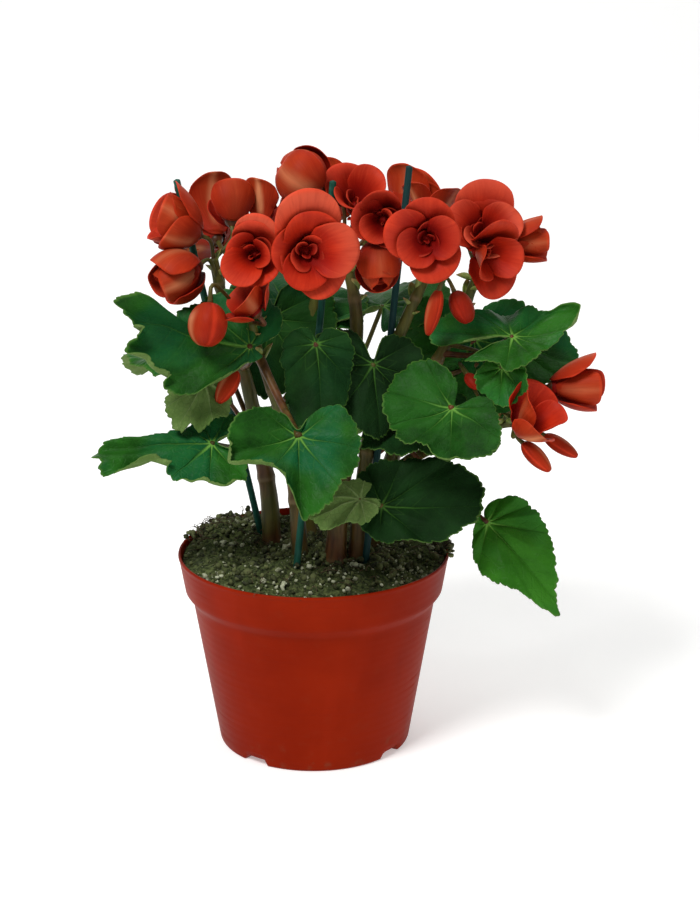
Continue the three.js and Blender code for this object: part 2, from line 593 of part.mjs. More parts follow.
// A point of a petal in the flower's axes. across and along run from -1 to 1 over its rounded outline. A
// petal is a patch of a bowl about the flower's axis: its midrib's lean runs evenly from base to tip.
function petalPoint(petal, across, along) {
  const share = (along + 1) / 2;
  const [base, tip] = [radians(petal.base), radians(petal.tip)];
  const turn = tip - base;
  const lean = base + turn * share;
  const radial = petal.start + (petal.length * (Math.cos(base) - Math.cos(lean))) / turn;
  const axial = petal.rise + (petal.length * (Math.sin(lean) - Math.sin(base))) / turn;
  const claw = 0.4 + 0.6 * Math.min(1, share * 1.8);
  const sweep = PETAL.widest * Math.tanh((across * claw * petal.halfWidth) / (PETAL.widest * radial));
  const angle = radians(petal.around) + sweep;
  return new THREE.Vector3(radial * Math.cos(angle), radial * Math.sin(angle), axial);
}

// A square grid mapped to a square with well rounded corners.
function roundedPoint(u, v) {
  const [x, y] = [2 * u - 1, 2 * v - 1];
  return [x * Math.sqrt(1 - (y * y) / 2.6), y * Math.sqrt(1 - (x * x) / 5)];
}

// The petals of a flower, in turn outside and inside their neighbours.
function petalsOf({ petals, base, tip }) {
  return petals.map(([around, length, halfWidth, further], k) => {
    const layer = k === 4 ? 0 : 1 - 2 * (k % 2);
    const leans = { base: base + 5 * layer, tip: tip + 5 * layer + further };
    return { around, length, halfWidth, ...leans, start: 3.4 + 1.2 * layer, rise: 1.6 - layer };
  });
}

function makeFlower(flower, grow) {
  const turn = flowerTurn(flower);
  const at = vector(flower.at);
  const place = (p) => p.applyQuaternion(turn).add(at);
  let made = egg(at, turn, 6, 6.4, grow).add(pedicel(flower, grow));
  for (const petal of petalsOf(flower)) {
    const [wider, longer] = [1 + grow / petal.halfWidth, 1 + (2 * grow) / petal.length];
    made = made.add(sheet((u, v) => {
      const [across, along] = roundedPoint(u, v);
      return place(petalPoint(petal, across * wider, along * longer));
    }, PETAL.across, PETAL.along, PETAL.thickness + 2 * grow));
  }
  if (!flower.inner) return made;
  const heart = (spoke, out) => {
    const angle = (2 * Math.PI * spoke) / PETAL.heartSpokes;
    const radius = (spoke % 2 ? 9 : 7) * out + grow * out;
    return place(new THREE.Vector3(radius * Math.cos(angle), radius * Math.sin(angle), 2 + 11 * out));
  };
  return made.add(roundSheet(heart, PETAL.heartSpokes, 1, PETAL.thickness + 2 * grow));
}

// The stalk from a node to the back of a flower or bud.
function pedicel(flower, grow) {
  const end = vector(flower.at).addScaledVector(facing(flower), 2);
  const bow = vector(flower.at).addScaledVector(facing(flower), -0.3 * end.distanceTo(vector(flower.from)));
  const radius = PEDICEL_RADIUS + grow;
  return tube([flower.from, bow.toArray(), end.toArray()], radius, radius, 5, 3);
}

// An egg standing on a point, along the direction that the turn takes +Z to.
function egg(at, turn, length, radius, grow) {
  const shape = new THREE.SphereGeometry(1, 6, 4)
    .rotateX(Math.PI / 2)
    .scale(radius + grow, radius + grow, length / 2 + grow)
    .translate(0, 0, length / 2 - 0.5)
    .applyQuaternion(turn)
    .translate(at.x, at.y, at.z);
  return solidOf(shape);
}

function makeBud(bud, grow) {
  return egg(vector(bud.at), flowerTurn(bud), bud.length, bud.width / 2, grow).add(pedicel(bud, grow));
}

// ---- Assembly -----------------------------------------------------------------------------------

const material = (color, roughness) => new THREE.MeshStandardMaterial({ color, roughness, metalness: 0 });
const MATERIALS = {
  pot: material(0x9c3216, 0.45),
  soil: material(0x2f2f20, 1),
  stake: material(0x1c5a4a, 0.6),
  stem: material(0x5a5a22, 0.5),
  leaf: material(0x2c6424, 0.4),
  petal: material(0xc8371e, 0.5),
};

const begonia = new THREE.Group();
const placed = [];

const largest = (solid) => solid.decompose().sort((a, b) => b.volume() - a.volume())[0];
const touching = (a, b) => [0, 1, 2].every((i) => a.min[i] <= b.max[i] && b.min[i] <= a.max[i]);

// Adds a piece to a group as a named mesh, cut clear of the pieces placed before it. make(grow) gives the
// piece where it stands in the plant, fatter by grow, and place is the position and rotation of its mesh.
function addPiece(group, name, make, look, { position, turn }) {
  let solid = make(0);
  for (const other of placed) {
    if (touching(solid.boundingBox(), other.box)) solid = solid.subtract(other.fat);
  }
  solid = largest(largest(solid).simplify(0.02));
  const fat = make(CLEARANCE).add(solid);
  placed.push({ fat, box: fat.boundingBox() });
  const mesh = new THREE.Mesh(geometryOf(solid), look);
  mesh.name = name;
  mesh.position.copy(position);
  mesh.quaternion.copy(turn);
  mesh.updateMatrix();
  mesh.geometry.applyMatrix4(mesh.matrix.clone().invert());
  group.add(mesh);
}

// Adds every piece of a table as a group of its own.
function addPieces(table, make, look, placeOf) {
  const group = new THREE.Group();
  for (const [name, entry] of Object.entries(table)) {
    addPiece(group, name, (grow) => make(entry, grow), look, placeOf(entry));
  }
  begonia.add(group);
}

const upright = (point) => ({ position: vector(point), turn: new THREE.Quaternion() });
const flowerPlace = (flower) => ({ position: vector(flower.at), turn: flowerTurn(flower) });
const leafPlace = (leaf) => ({ position: vector(leaf.at), turn: leafTurn(leaf) });

addPieces(stakes, makeStake, MATERIALS.stake, ([low]) => upright(low));
addPieces(stems, makeStem, MATERIALS.stem, ({ route }) => upright(route[0]));
addPieces(flowers, makeFlower, MATERIALS.petal, flowerPlace);
addPieces(buds, makeBud, MATERIALS.petal, flowerPlace);
addPieces(leaves, makeLeaf, MATERIALS.leaf, leafPlace);
addPieces({ pot: POT }, makePot, MATERIALS.pot, () => upright([0, 0, 0]));
addPieces({ soil: SOIL }, makeSoil, MATERIALS.soil, () => upright([0, 0, 0]));

export default begonia;
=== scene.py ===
"""The looks of the potted begonia: fine leaves, petals, stems, soil, pot and stakes over the CAD part."""
from math import cos, pi, radians, sin, tau

import bmesh
import bpy
import numpy as np
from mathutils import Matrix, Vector


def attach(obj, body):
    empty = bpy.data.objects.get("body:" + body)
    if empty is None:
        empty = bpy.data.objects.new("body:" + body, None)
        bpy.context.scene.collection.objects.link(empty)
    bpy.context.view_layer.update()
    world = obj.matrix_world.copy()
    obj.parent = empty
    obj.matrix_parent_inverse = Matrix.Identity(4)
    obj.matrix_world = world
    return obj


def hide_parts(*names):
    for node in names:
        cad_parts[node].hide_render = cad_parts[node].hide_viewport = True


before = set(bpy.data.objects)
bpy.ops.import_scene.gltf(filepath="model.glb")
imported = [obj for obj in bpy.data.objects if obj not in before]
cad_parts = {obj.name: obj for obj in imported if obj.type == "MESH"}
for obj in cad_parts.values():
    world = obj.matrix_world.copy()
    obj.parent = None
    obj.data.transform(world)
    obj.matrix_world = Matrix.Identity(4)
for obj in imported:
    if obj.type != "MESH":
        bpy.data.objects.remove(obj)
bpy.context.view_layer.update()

MM = 0.001
LEAF_THICKNESS, PETAL_THICKNESS = 0.55, 0.4
VEIN_STEP = 40  # degrees between a leaf's main veins

# ---- Driving dimensions, in millimetres and degrees as in the CAD part ---------------------------

POT = dict(height=117, rim_radius=80, band_bottom_radius=76.3, shoulder_radius=71.4, base_radius=57,
           band_height=22, shoulder_drop=5.6, wall=1.6, notches=4, notch_turn=-38, notch_width=15,
           notch_height=3.4)
# heaps: places where the soil rises, as x, y, extra height and spread.
SOIL = dict(bottom_height=6, edge_height=113, mound_height=119.5,
            heaps=[(-58, 36, 5, 15), (66, 8, 5, 12), (70, -12, 3, 9)])
# Where soil was spilt over the rim: degrees from +X, their spread, and the way past the soil's edge.
SPILLS = [(6, 9, 5.2), (145, 13, 2.0)]
STAKE = dict(radius=2, buried_to=45)
LEAF_NOTCH = 3
# The camera stands in front of the plant: its place, how far it looks down and to the right, and its lens.
CAMERA = dict(at=(0, -1190, 545), down=17.09, right=1.03, lens=85.6)

# ---- Layout of the plant -------------------------------------------------------------------------

# Each stake runs through two points.
STAKES = {
    "stake_left": [(-32, 26, 119), (-76, 2, 337)],
    "stake_centre": [(-10, -32, 119), (12, 2, 336)],
    "stake_right": [(30, -24, 119), (55, 4, 344)],
}

# Each stem is a route from the soil to its flower node, with its radius at the foot and at the top.
STEMS = {
    "stem_left": dict(
        foot=6, top=2.6,
        route=[(-24, 12, 96), (-27, 12, 150), (-38, 8, 215), (-50, 2, 262), (-56, 2, 292)]),
    "stem_front": dict(
        foot=5.2, top=2.2,
        route=[(-8, -16, 96), (-10, -14, 150), (-18, -14, 200), (-30, -22, 240), (-34, -28, 262)]),
    "stem_centre": dict(
        foot=6.6, top=3,
        route=[(11, -22, 96), (15, -18, 150), (22, -8, 215), (25, -4, 262), (18, -2, 298)]),
    "stem_mid_right": dict(
        foot=6, top=2.8,
        route=[(25, -17, 96), (28, -14, 150), (37, -10, 215), (53, -8, 258), (66, -8, 288)]),
    "stem_right": dict(
        foot=5.6, top=2.6,
        route=[(30, 8, 96), (40, 8, 150), (62, 8, 210), (86, 8, 258), (96, 6, 286)]),
    "stem_back": dict(
        foot=5.6, top=2.6,
        route=[(-2, 28, 96), (-4, 32, 150), (-6, 38, 215), (2, 42, 262), (8, 44, 288)]),
    "side_shoot": dict(
        foot=3.4, top=2.2,
        route=[(42, 8, 160), (66, -8, 180), (96, -24, 198), (118, -30, 204)]),
}

# at: where the petiole meets the blade. heading, pitch, roll: degrees, for the tip's direction about Z
# (0 is +X), above the horizon, and about the midrib. margin: points of the outline as (degrees from the
# tip's direction, distance from the petiole, height of the ruffle). A leaf without a margin has a length,
# a wider side (1 or -1), and a wave with its phase. start, radius: where the petiole begins, and how thick
# it is there. hems: stretches of the margin that roll up, as (degrees, half their width, how far), over the
# share hem of the blade. pleat, swell: how deep its folds and humps are. Two more keys set how fresh its
# green is, or below 0 how far painted shade darkens it, and how much painted bluish sheen it has, partly a
# bluer green of its own.
LEAVES = {
    "leaf_front": dict(
        at=(-8, -76, 210), heading=-88, pitch=-50, start=(-30, -22, 240), radius=2.6,
        hems=((-100, 26, 0.2), (-62, 26, 0.9), (-28, 18, 0.8), (-6, 8, 0.5)), pleat=0.26, bright=-0.2,
        teal=1.0,
        margin=[(-150, 15, 0), (-125, 29, 3), (-98, 37, 4), (-68, 47, -2), (-38, 30, 7), (-14, 33, 6),
                (1, 48, -3), (18, 46, -2), (36, 38, 4), (55, 36, -2), (80, 34, 3), (105, 32, -1),
                (130, 28, 2), (152, 14, 0)]),
    "leaf_front_right": dict(
        at=(76, -68, 223), heading=-140, pitch=-34, roll=-20, start=(42, -10, 228), radius=1.9,
        hems=((30, 20, 0.5),), bright=-0.3, teal=0.0,
        margin=[(-150, 18, 0), (-120, 34, 3), (-90, 40, 0), (-60, 39, 3), (-32, 36, -1), (-12, 38, 2),
                (8, 30, 3), (22, 37, -2), (55, 39, 2), (76, 40, -2), (98, 31, 2), (125, 24, 0),
                (155, 17, 1)]),
    "leaf_left": dict(
        at=(-57, -40, 195), heading=184, pitch=-2, roll=-40, start=(-32, 10, 186), radius=1.9, hem=0.2,
        hems=((26, 9, 1.0), (84, 42, 0.7)),
        margin=[(-150, 24, 3), (-112, 22, 0), (-70, 20, -4), (-34, 21, -3), (-12, 40, -2), (-5, 61, 2),
                (0, 66, -3), (7, 64, 2), (14, 65, -4), (18, 48, 4), (34, 33, 4), (57, 30, -4), (80, 30, 1),
                (98, 33, -5), (122, 32, 1), (150, 20, 0)]),
    "leaf_upper_left": dict(
        at=(-35, -35, 250), heading=184, pitch=4, roll=-48, start=(-41, 7, 226), radius=1.9, hem=0.16,
        hems=((5, 4, 0.8), (21, 9, 0.9), (70, 24, 0.8)), pleat=0.4, swell=1.4, bright=-0.3,
        margin=[(-150, 20, 2), (-122, 31, 2), (-92, 36, -2), (-62, 38, -4), (-38, 42, -6), (-24, 46, -5),
                (-14, 50, -3), (-11, 56, 22), (-9, 63, 38), (-5, 76, 36), (-1, 68, 22), (5, 69, 12),
                (13, 66, 6), (20, 62, 1), (27, 54, -4), (35, 51, 0), (43, 46, 2), (52, 38, 2), (58, 28, 2),
                (66, 18, 1), (82, 11, 0), (110, 9, 0), (145, 9, 0)]),
    "leaf_hanging_right": dict(
        at=(99, -40, 147), heading=-40, pitch=-42, roll=42, start=(35, -11, 205), radius=1.5, bright=0.6,
        margin=[(-165, 6, 0), (-110, 8, 0), (-74, 14, -2), (-55, 24, -2), (-34, 34, 0), (-14, 42, -1),
                (-4, 56, -3), (1, 66, -6), (9, 56, -3), (22, 47, 0), (40, 38, 1), (62, 31, 0), (92, 23, 1),
                (125, 14, 1), (155, 8, 0)]),
    "leaf_low_right": dict(
        at=(38, -60, 164), heading=-6, pitch=-4, roll=52, start=(17, -16, 160), radius=1.8, bright=-0.95,
        teal=0.0,
        margin=[(-150, 14, -2), (-108, 18, -2), (-70, 21, -3), (-45, 27, -1), (-22, 41, -4), (-5, 54, -1),
                (8, 58, 1), (30, 54, -2), (52, 40, 3), (78, 30, 0), (110, 25, 3), (150, 20, 1)]),
    "leaf_turned": dict(
        at=(26, -64, 169), heading=198, pitch=-20, roll=150, start=(14, -18, 146), radius=1.5, teal=0.2,
        margin=[(-150, 11, 0), (-90, 14, 1), (-40, 18, -2), (-10, 27, 2), (15, 29, -1), (45, 23, 2),
                (90, 16, -1), (145, 12, 0)]),
    "leaf_upper_right": dict(
        at=(113, -20, 251), heading=14, pitch=4, roll=24, start=(74, 8, 234), radius=1.8,
        hems=((10, 30, 0.6),), bright=0.1,
        margin=[(-158, 34, -2), (-132, 30, 2), (-105, 28, -3), (-75, 24, 2), (-45, 22, -1), (-22, 27, 2),
                (-8, 40, 6), (8, 44, 5), (28, 34, -2), (52, 26, 3), (84, 22, -2), (118, 26, 3), (146, 40, 0),
                (163, 50, 3), (176, 46, 0)]),
    "leaf_right_drape": dict(
        at=(106, -34, 237), heading=-96, pitch=-78, roll=6, start=(78, 8, 240), radius=1.4, bright=0.2,
        margin=[(-150, 5, 0), (-100, 11, 2), (-55, 17, 3), (-20, 20, 1), (4, 23, 2), (24, 21, 0), (55, 18, 2),
                (100, 12, 1), (150, 5, 0)]),
    "leaf_right_back": dict(
        at=(118, 18, 238), heading=0, pitch=-8, roll=30, start=(66, 8, 218), radius=1.6, length=42, side=-1,
        wave=4, phase=2.2, bright=-0.3),
    "leaf_centre": dict(
        at=(2, -42, 253), heading=-98, pitch=-74, start=(-19, -15, 208), radius=1.7, pleat=0.4, bright=-0.88,
        margin=[(-150, 10, 0), (-110, 17, -2), (-70, 22, -7), (-42, 27, -8), (-26, 38, -7), (-12, 48, -3),
                (0, 47, 3), (12, 46, 0), (24, 38, -6), (42, 28, -8), (75, 22, -6), (115, 17, -2),
                (150, 10, 0)]),
    "leaf_centre_right": dict(
        at=(34, -30, 238), heading=-84, pitch=-66, roll=-8, start=(22, -8, 206), radius=1.7, length=44,
        side=-1, wave=4, phase=0.9, pleat=0.3, bright=-1.0),
    "leaf_left_under": dict(
        at=(-60, -28, 228), heading=230, pitch=-50, roll=168, start=(-29, 12, 172), radius=1.6, bright=-0.1,
        margin=[(-150, 11, 0), (-90, 16, -1), (-58, 21, 2), (-34, 26, -3), (-14, 29, 2), (-6, 27, -2),
                (3, 33, 2), (24, 30, -2), (46, 27, 3), (70, 24, 0), (105, 20, -2), (150, 12, 0)]),
    "leaf_middle": dict(
        at=(56, -19, 202), heading=-24, pitch=-6, roll=17, start=(31, -13, 176), radius=1.7, length=52,
        side=1, wave=4, phase=0.3, bright=-0.8),
    "leaf_inner": dict(
        at=(-26, 38, 248), heading=262, pitch=-68, start=(-5, 36, 192), radius=1.7, length=48, side=1, wave=4,
        phase=1.7, bright=-0.75),
    "leaf_back_left": dict(
        at=(-56, 42, 230), heading=150, pitch=-10, roll=6, start=(-31, 11, 176), radius=1.8, length=64,
        side=1, wave=6, phase=2.4),
    "leaf_back": dict(
        at=(-16, 60, 254), heading=102, pitch=10, roll=4, start=(-5, 36, 192), radius=1.8, length=60, side=-1,
        wave=6, phase=0.8, bright=-0.35),
    "leaf_back_right": dict(
        at=(42, 54, 252), heading=62, pitch=8, roll=-4, start=(-5, 35, 180), radius=1.8, length=62, side=1,
        wave=6, phase=1.2, bright=-0.35),
    "leaf_back_low": dict(
        at=(10, 70, 178), heading=86, pitch=-26, roll=8, start=(-4, 33, 158), radius=1.8, length=56, side=1,
        wave=5, phase=2, bright=-0.5),
    "leaf_back_low_right": dict(
        at=(95, 22, 239), heading=-80, pitch=-74, start=(56, 8, 196), radius=1.6, length=56, side=-1, wave=5,
        phase=0.1, bright=-0.2),
}

# at: the receptacle. turn: degrees that the flower faces to the right of the front. lift: degrees above
# the horizon. base, tip: lean of the outer petals from the flower's axis at their base and at their tip.
# petals: (degrees round the axis, length, half width, extra lean of the tip). full: many small petals fill
# it. bare: how many of its inner petals are left out. pale, depth: how washed out its outer petals are, and
# how far painted shade darkens it inside.
FLOWERS = {
    "flower_front": dict(
        at=(-5, -29, 303), turn=12, lift=6, base=26, tip=80, start=(18, -3, 290), full=True,
        pale=(1.0, 0.8, 0.4, 0.1, 0.2),
        petals=[(92, 39, 25, -6), (6, 36, 23, 4), (-54, 30, 22, 0), (-104, 27, 22, 0), (176, 26, 23, -6)]),
    "flower_front_right": dict(
        at=(63, -28, 310), turn=0, lift=6, base=20, tip=76, start=(66, -8, 285), full=True, bare=2, depth=1.3,
        petals=[(85, 27, 23, -2), (6, 26, 23, 4), (-66, 28, 23, 0), (-142, 26, 22, 2), (164, 30, 20, 4)]),
    "flower_front_left": dict(
        at=(-31, -24, 300), turn=-6, lift=12, base=16, tip=40, start=(-34, -27, 261), full=True,
        pale=(1.0, 0.2, 0.1, 0.3, 0.2),
        petals=[(78, 28, 19, 12), (4, 24, 20, -6), (-60, 25, 19, 0), (-128, 32, 19, 24), (166, 24, 20, 0)]),
    "flower_left": dict(
        at=(-63, -2, 306), turn=-82, lift=28, base=60, tip=-8, start=(-56, 2, 290),
        pale=(0.7, 0.5, 0.4, 0.3, 0.4),
        petals=[(-24, 26, 21, 4), (30, 31, 23, 0), (92, 32, 22, 8), (-92, 28, 20, 6), (176, 32, 22, 0)]),
    "flower_left_low": dict(
        at=(-63, -8, 291), turn=-60, lift=-22, base=68, tip=-40, start=(-54, 1, 280),
        pale=(0.5, 0.9, 0.2, 0.4),
        petals=[(80, 32, 21, 8), (4, 32, 21, 0), (-84, 31, 21, -4), (172, 32, 21, 4)]),
    "flower_left_top": dict(
        at=(-46, 14, 309), turn=186, lift=56, base=56, tip=-22, start=(-56, 2, 291),
        pale=(0.05, 0.1, 0.1, 0.1),
        petals=[(100, 27, 21, 0), (14, 25, 18, 0), (-84, 26, 18, 4), (182, 25, 18, 0)]),
    "flower_top_pale": dict(
        at=(-28, 24, 306), turn=168, lift=60, base=24, tip=22, start=(17, -1, 293), pale=(1.6,),
        petals=[(82, 29, 14, 0), (-36, 27, 15, 0), (204, 28, 15, 0)]),
    "flower_top_ball": dict(
        at=(7, 6, 331), turn=-105, lift=30, base=84, tip=-74, start=(18, -2, 297), pale=(0.7, 0.5, 0.2, 0.2),
        petals=[(-4, 37, 30, 0), (84, 37, 25, 0), (172, 37, 25, 0), (-98, 37, 25, 0)]),
    "flower_top": dict(
        at=(24, 8, 317), turn=4, lift=50, base=34, tip=48, start=(18, -1, 297),
        petals=[(112, 27, 20, -2), (38, 28, 20, 2), (-50, 23, 19, -12), (-132, 24, 20, -12)]),
    "flower_cup": dict(
        at=(41, -14, 317), turn=-8, lift=8, base=16, tip=42, start=(19, -3, 294), full=True, bare=2,
        depth=1.3,
        petals=[(98, 25, 18, -6), (16, 21, 15, -24), (-62, 22, 15, -12), (-136, 23, 17, 8),
                (172, 25, 20, 16)]),
    "flower_under": dict(
        at=(35, -16, 304), turn=8, lift=-50, base=62, tip=-50, start=(22, -3, 282), pale=(0.2, 0.2, 0.6, 0.2),
        depth=2.4,
        petals=[(92, 31, 20, 0), (10, 30, 19, 0), (-84, 30, 20, 0), (176, 30, 20, 0)]),
    "flower_right_top": dict(
        at=(96, 8, 301), turn=6, lift=34, base=26, tip=72, start=(96, 6, 285), full=True,
        pale=(0.6, 0.8, 1.3, 1.0, 0.5),
        petals=[(88, 34, 25, -6), (16, 30, 21, 4), (-62, 21, 18, -24), (-126, 21, 18, -20),
                (162, 28, 21, 0)]),
    "flower_right_front": dict(
        at=(92, -5, 299), turn=30, lift=-8, base=32, tip=34, start=(95, 5, 281), depth=0.6,
        petals=[(74, 28, 21, 6), (2, 29, 21, 8), (-76, 30, 22, 0), (-156, 27, 21, -8)]),
    "flower_right": dict(
        at=(106, 5, 299), turn=84, lift=6, base=36, tip=-16, start=(96, 6, 284),
        petals=[(96, 28, 15, 14), (12, 28, 15, 0), (-84, 29, 17, 4), (178, 28, 16, 0)]),
    "flower_behind_right": dict(
        at=(66, 14, 306), turn=178, lift=58, base=28, tip=36, start=(66, -7, 286), pale=(0.8,), depth=0.3,
        petals=[(-90, 26, 16, 0), (30, 27, 18, 0), (150, 27, 18, 0)]),
    "flower_back": dict(
        at=(6, 56, 306), turn=178, lift=24, base=24, tip=78, start=(8, 44, 287), full=True,
        petals=[(84, 34, 23, 0), (10, 30, 22, 0), (-62, 29, 21, 0), (-134, 30, 22, 0), (160, 30, 21, 0)]),
    "flower_back_left": dict(
        at=(-55, 40, 294), turn=206, lift=16, base=22, tip=76, start=(7, 44, 284), full=True, pale=(1.0,),
        petals=[(96, 42, 20, 0), (24, 36, 20, 0), (-50, 34, 21, 0), (-122, 36, 21, 0), (168, 36, 20, 0)]),
    "flower_back_right": dict(
        at=(52, 44, 306), turn=146, lift=26, base=20, tip=70, start=(8, 44, 286), full=True,
        petals=[(86, 31, 22, 0), (14, 29, 21, 0), (-58, 29, 20, 0), (-130, 29, 21, 0), (162, 30, 21, 0)]),
    "flower_side": dict(
        at=(115, -42, 201), turn=60, lift=46, base=48, tip=20, start=(114, -30, 200), bare=3,
        pale=(0.2, 0.2, 1.0, 0.2), depth=0.35,
        petals=[(45, 31, 25, -14), (-45, 28, 20, -14), (-135, 24, 22, -12), (135, 27, 17, -8)]),
    "flower_side_back": dict(
        at=(134, -22, 222), turn=80, lift=4, base=44, tip=-14, start=(118, -29, 205), bare=1,
        petals=[(88, 31, 17, 20), (0, 31, 18, 0), (-84, 30, 19, 4), (178, 31, 18, 6)]),
    "flower_opening": dict(
        at=(-30, -45, 270), turn=-74, lift=52, base=62, tip=22, start=(-33, -28, 262), bare=3, pale=(0.5,),
        depth=0.6,
        petals=[(-84, 18, 18, -6), (4, 19, 18, -6), (92, 18, 18, -6), (176, 19, 18, -6)]),
}

# A bud points the way its turn and lift say, and hangs on a pedicel from a node. seam: degrees that its
# seam is turned. pale: how washed out it is. Its shade number: how far painted shade darkens it.
BUDS = {
    "bud_left": dict(
        at=(-56, -48, 278), turn=-24, lift=-72, start=(-35, -28, 262), length=25, width=23, seam=45, deep=0.7,
        pale=0.9),
    "bud_hanging_left": dict(
        at=(70, -36, 282), turn=-60, lift=-74, start=(66, -9, 286), length=27, width=10, deep=0.25, pale=0.3),
    "bud_hanging_right": dict(
        at=(79, -28, 279), turn=70, lift=-62, start=(67, -8, 287), length=20, width=14, deep=1.5, pale=0.1),
    "bud_side_low": dict(
        at=(118, -42, 195), turn=62, lift=-40, start=(117, -30, 203), length=23, width=11, deep=0.15),
    "bud_side_tip": dict(
        at=(131, -34, 197), turn=74, lift=-30, start=(119, -30, 204), length=23, width=10, deep=0.35),
    "bud_low_left": dict(at=(-43, -28, 234), turn=-50, lift=-50, start=(-33, -25, 252), length=22, width=12),
    "bud_low_right": dict(
        at=(88, -16, 228), turn=30, lift=-30, start=(104, -26, 200), length=13, width=8, deep=1.6, pale=0.0),
}

# The outline of a leaf that has no margin of its own, as (degrees from the tip, share of its length).
ROUND_LEAF = [(-155, 0.42), (-125, 0.7), (-95, 0.74), (-65, 0.73), (-38, 0.78), (-15, 0.9), (0, 1), (15, 0.9),
              (38, 0.8), (65, 0.78), (95, 0.76), (125, 0.7), (155, 0.42)]

# ---- Geometry helpers ---------------------------------------------------------------------------

def smooth_path(points, count, closed=False):
    """Points at even distances along a smooth curve through the given ones."""
    points = np.array(points, float)
    size = len(points)
    if closed:
        padded = points[np.arange(-1, size + 2) % size]
    else:
        padded = np.vstack([2 * points[0] - points[1], points, 2 * points[-1] - points[-2]])
    gaps = np.maximum(np.linalg.norm(np.diff(padded, axis=0), axis=1), 1e-6) ** 0.5
    dense = []
    for i in range(1, len(padded) - 2):
        (p0, p1, p2, p3), (g0, g1, g2) = padded[i - 1:i + 3], gaps[i - 1:i + 2]
        slope_1 = (p2 - p1) + g1 * ((p1 - p0) / g0 - (p2 - p0) / (g0 + g1))
        slope_2 = (p2 - p1) + g1 * ((p3 - p2) / g2 - (p3 - p1) / (g1 + g2))
        t = np.linspace(0, 1, 16, endpoint=False)[:, None]
        dense.append(p1 * (2 * t ** 3 - 3 * t ** 2 + 1) + slope_1 * (t ** 3 - 2 * t ** 2 + t)
                     + p2 * (3 * t ** 2 - 2 * t ** 3) + slope_2 * (t ** 3 - t ** 2))
    dense = np.vstack(dense + [padded[-2][None]])
    travelled = np.append(0, np.cumsum(np.linalg.norm(np.diff(dense, axis=0), axis=1)))
    even = np.linspace(0, travelled[-1], count + closed)[:count]
    return np.stack([np.interp(even, travelled, dense[:, k]) for k in range(dense.shape[1])], axis=1)


LATTICE = np.random.default_rng(3).uniform(-1, 1, (32, 32, 32))


def noise(points, scale, shift=0.0):
    """Smooth noise from -1 to 1 at points in mm, with lumps about `scale` mm across."""
    where = np.asarray(points, float) / scale + shift * 7.31 + 500
    cell = np.floor(where).astype(int)
    part = where - cell
    part = part * part * (3 - 2 * part)
    total = np.zeros(len(where))
    for corner in np.ndindex(2, 2, 2):
        weight = np.prod(np.where(corner, part, 1 - part), axis=1)
        i, j, k = ((cell + corner) % 32).T
        total += weight * LATTICE[i, j, k]
    return total


def vertex_normals(points, faces):
    """Unit normals of a mesh's points, from its triangles and quads."""
    normals = np.zeros_like(points)
    for face in faces:
        corners = np.array(face)
        a, b, c = (points[corners[:, k]] for k in range(3))
        across = np.cross(b - a, c - a)
        for k in range(corners.shape[1]):
            np.add.at(normals, corners[:, k], across)
    return normals / np.maximum(np.linalg.norm(normals, axis=1), 1e-12)[:, None]


class Shape:
    """Points in mm with faces and numbers at each point, gathered until they become one Blender object."""

    def __init__(self):
        self.points, self.faces, self.values, self.count = [], [], {}, 0

    def add(self, points, faces, **values):
        for name in {**self.values, **values}:
            known = self.values.setdefault(name, [np.zeros(self.count)])
            value = values.get(name, 0.0)
            known.append(np.broadcast_to(np.asarray(value, float), (len(points),)).copy())
        self.points.append(np.asarray(points, float))
        self.faces += [np.asarray(f, int) + self.count for f in faces if len(f)]
        self.count += len(points)
        return self

    def add_shell(self, points, faces, rim, thickness, side, **values):
        """A sheet as a closed skin. rim: the loop of its edge. side: the value that marks the lower skin."""
        half = vertex_normals(points, faces) * thickness / 2
        size = len(points)
        ring = np.array(rim)
        after = np.roll(ring, -1)
        skins = list(faces) + [np.array(f)[:, ::-1] + size for f in faces]
        skins.append(np.stack([ring, ring + size, after + size, after], axis=1))
        doubled = {name: np.tile(np.broadcast_to(v, (size,)), 2) for name, v in values.items()}
        doubled[side] = np.repeat([0.0, 1.0], size)
        return self.add(np.vstack([points + half, points - half]), skins, **doubled)

    def build(self, name, material, slot, replaced=()):
        """The object, which rides the part's one body and takes the place of the replaced nodes."""
        mesh = bpy.data.meshes.new(name)
        points = np.vstack(self.points) * MM
        faces = [tuple(f) for group in self.faces for f in group.tolist()]
        mesh.from_pydata(points.tolist(), [], faces)
        for value, parts in self.values.items():
            if value in ("u", "v"):
                continue
            layer = mesh.attributes.new(value, "FLOAT", "POINT")
            layer.data.foreach_set("value", np.concatenate(parts).astype(np.float32))
        if "u" in self.values:
            layer = mesh.uv_layers.new(name="flat")
            loops = np.zeros(len(mesh.loops), np.int32)
            mesh.loops.foreach_get("vertex_index", loops)
            flat = np.stack([np.concatenate(self.values[k])[loops] for k in ("u", "v")], axis=1)
            layer.data.foreach_set("uv", flat.astype(np.float32).ravel())
        mesh.polygons.foreach_set("use_smooth", [True] * len(mesh.polygons))
        mesh.materials.append(material)
        mesh.validate()
        piece = bpy.data.objects.new(name, mesh)
        bpy.context.scene.collection.objects.link(piece)
        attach(piece, "root")
        if replaced:
            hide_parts(*replaced)


def grid_faces(columns, rows, wrap=False):
    """Quads of a grid of points stored row by row. A wrapped row closes on itself."""
    i, j = np.meshgrid(np.arange(columns if wrap else columns - 1), np.arange(rows - 1))
    i, row = i.ravel(), j.ravel() * columns
    after = (i + 1) % columns
    return np.stack([row + i, row + after, row + columns + after, row + columns + i], axis=1)


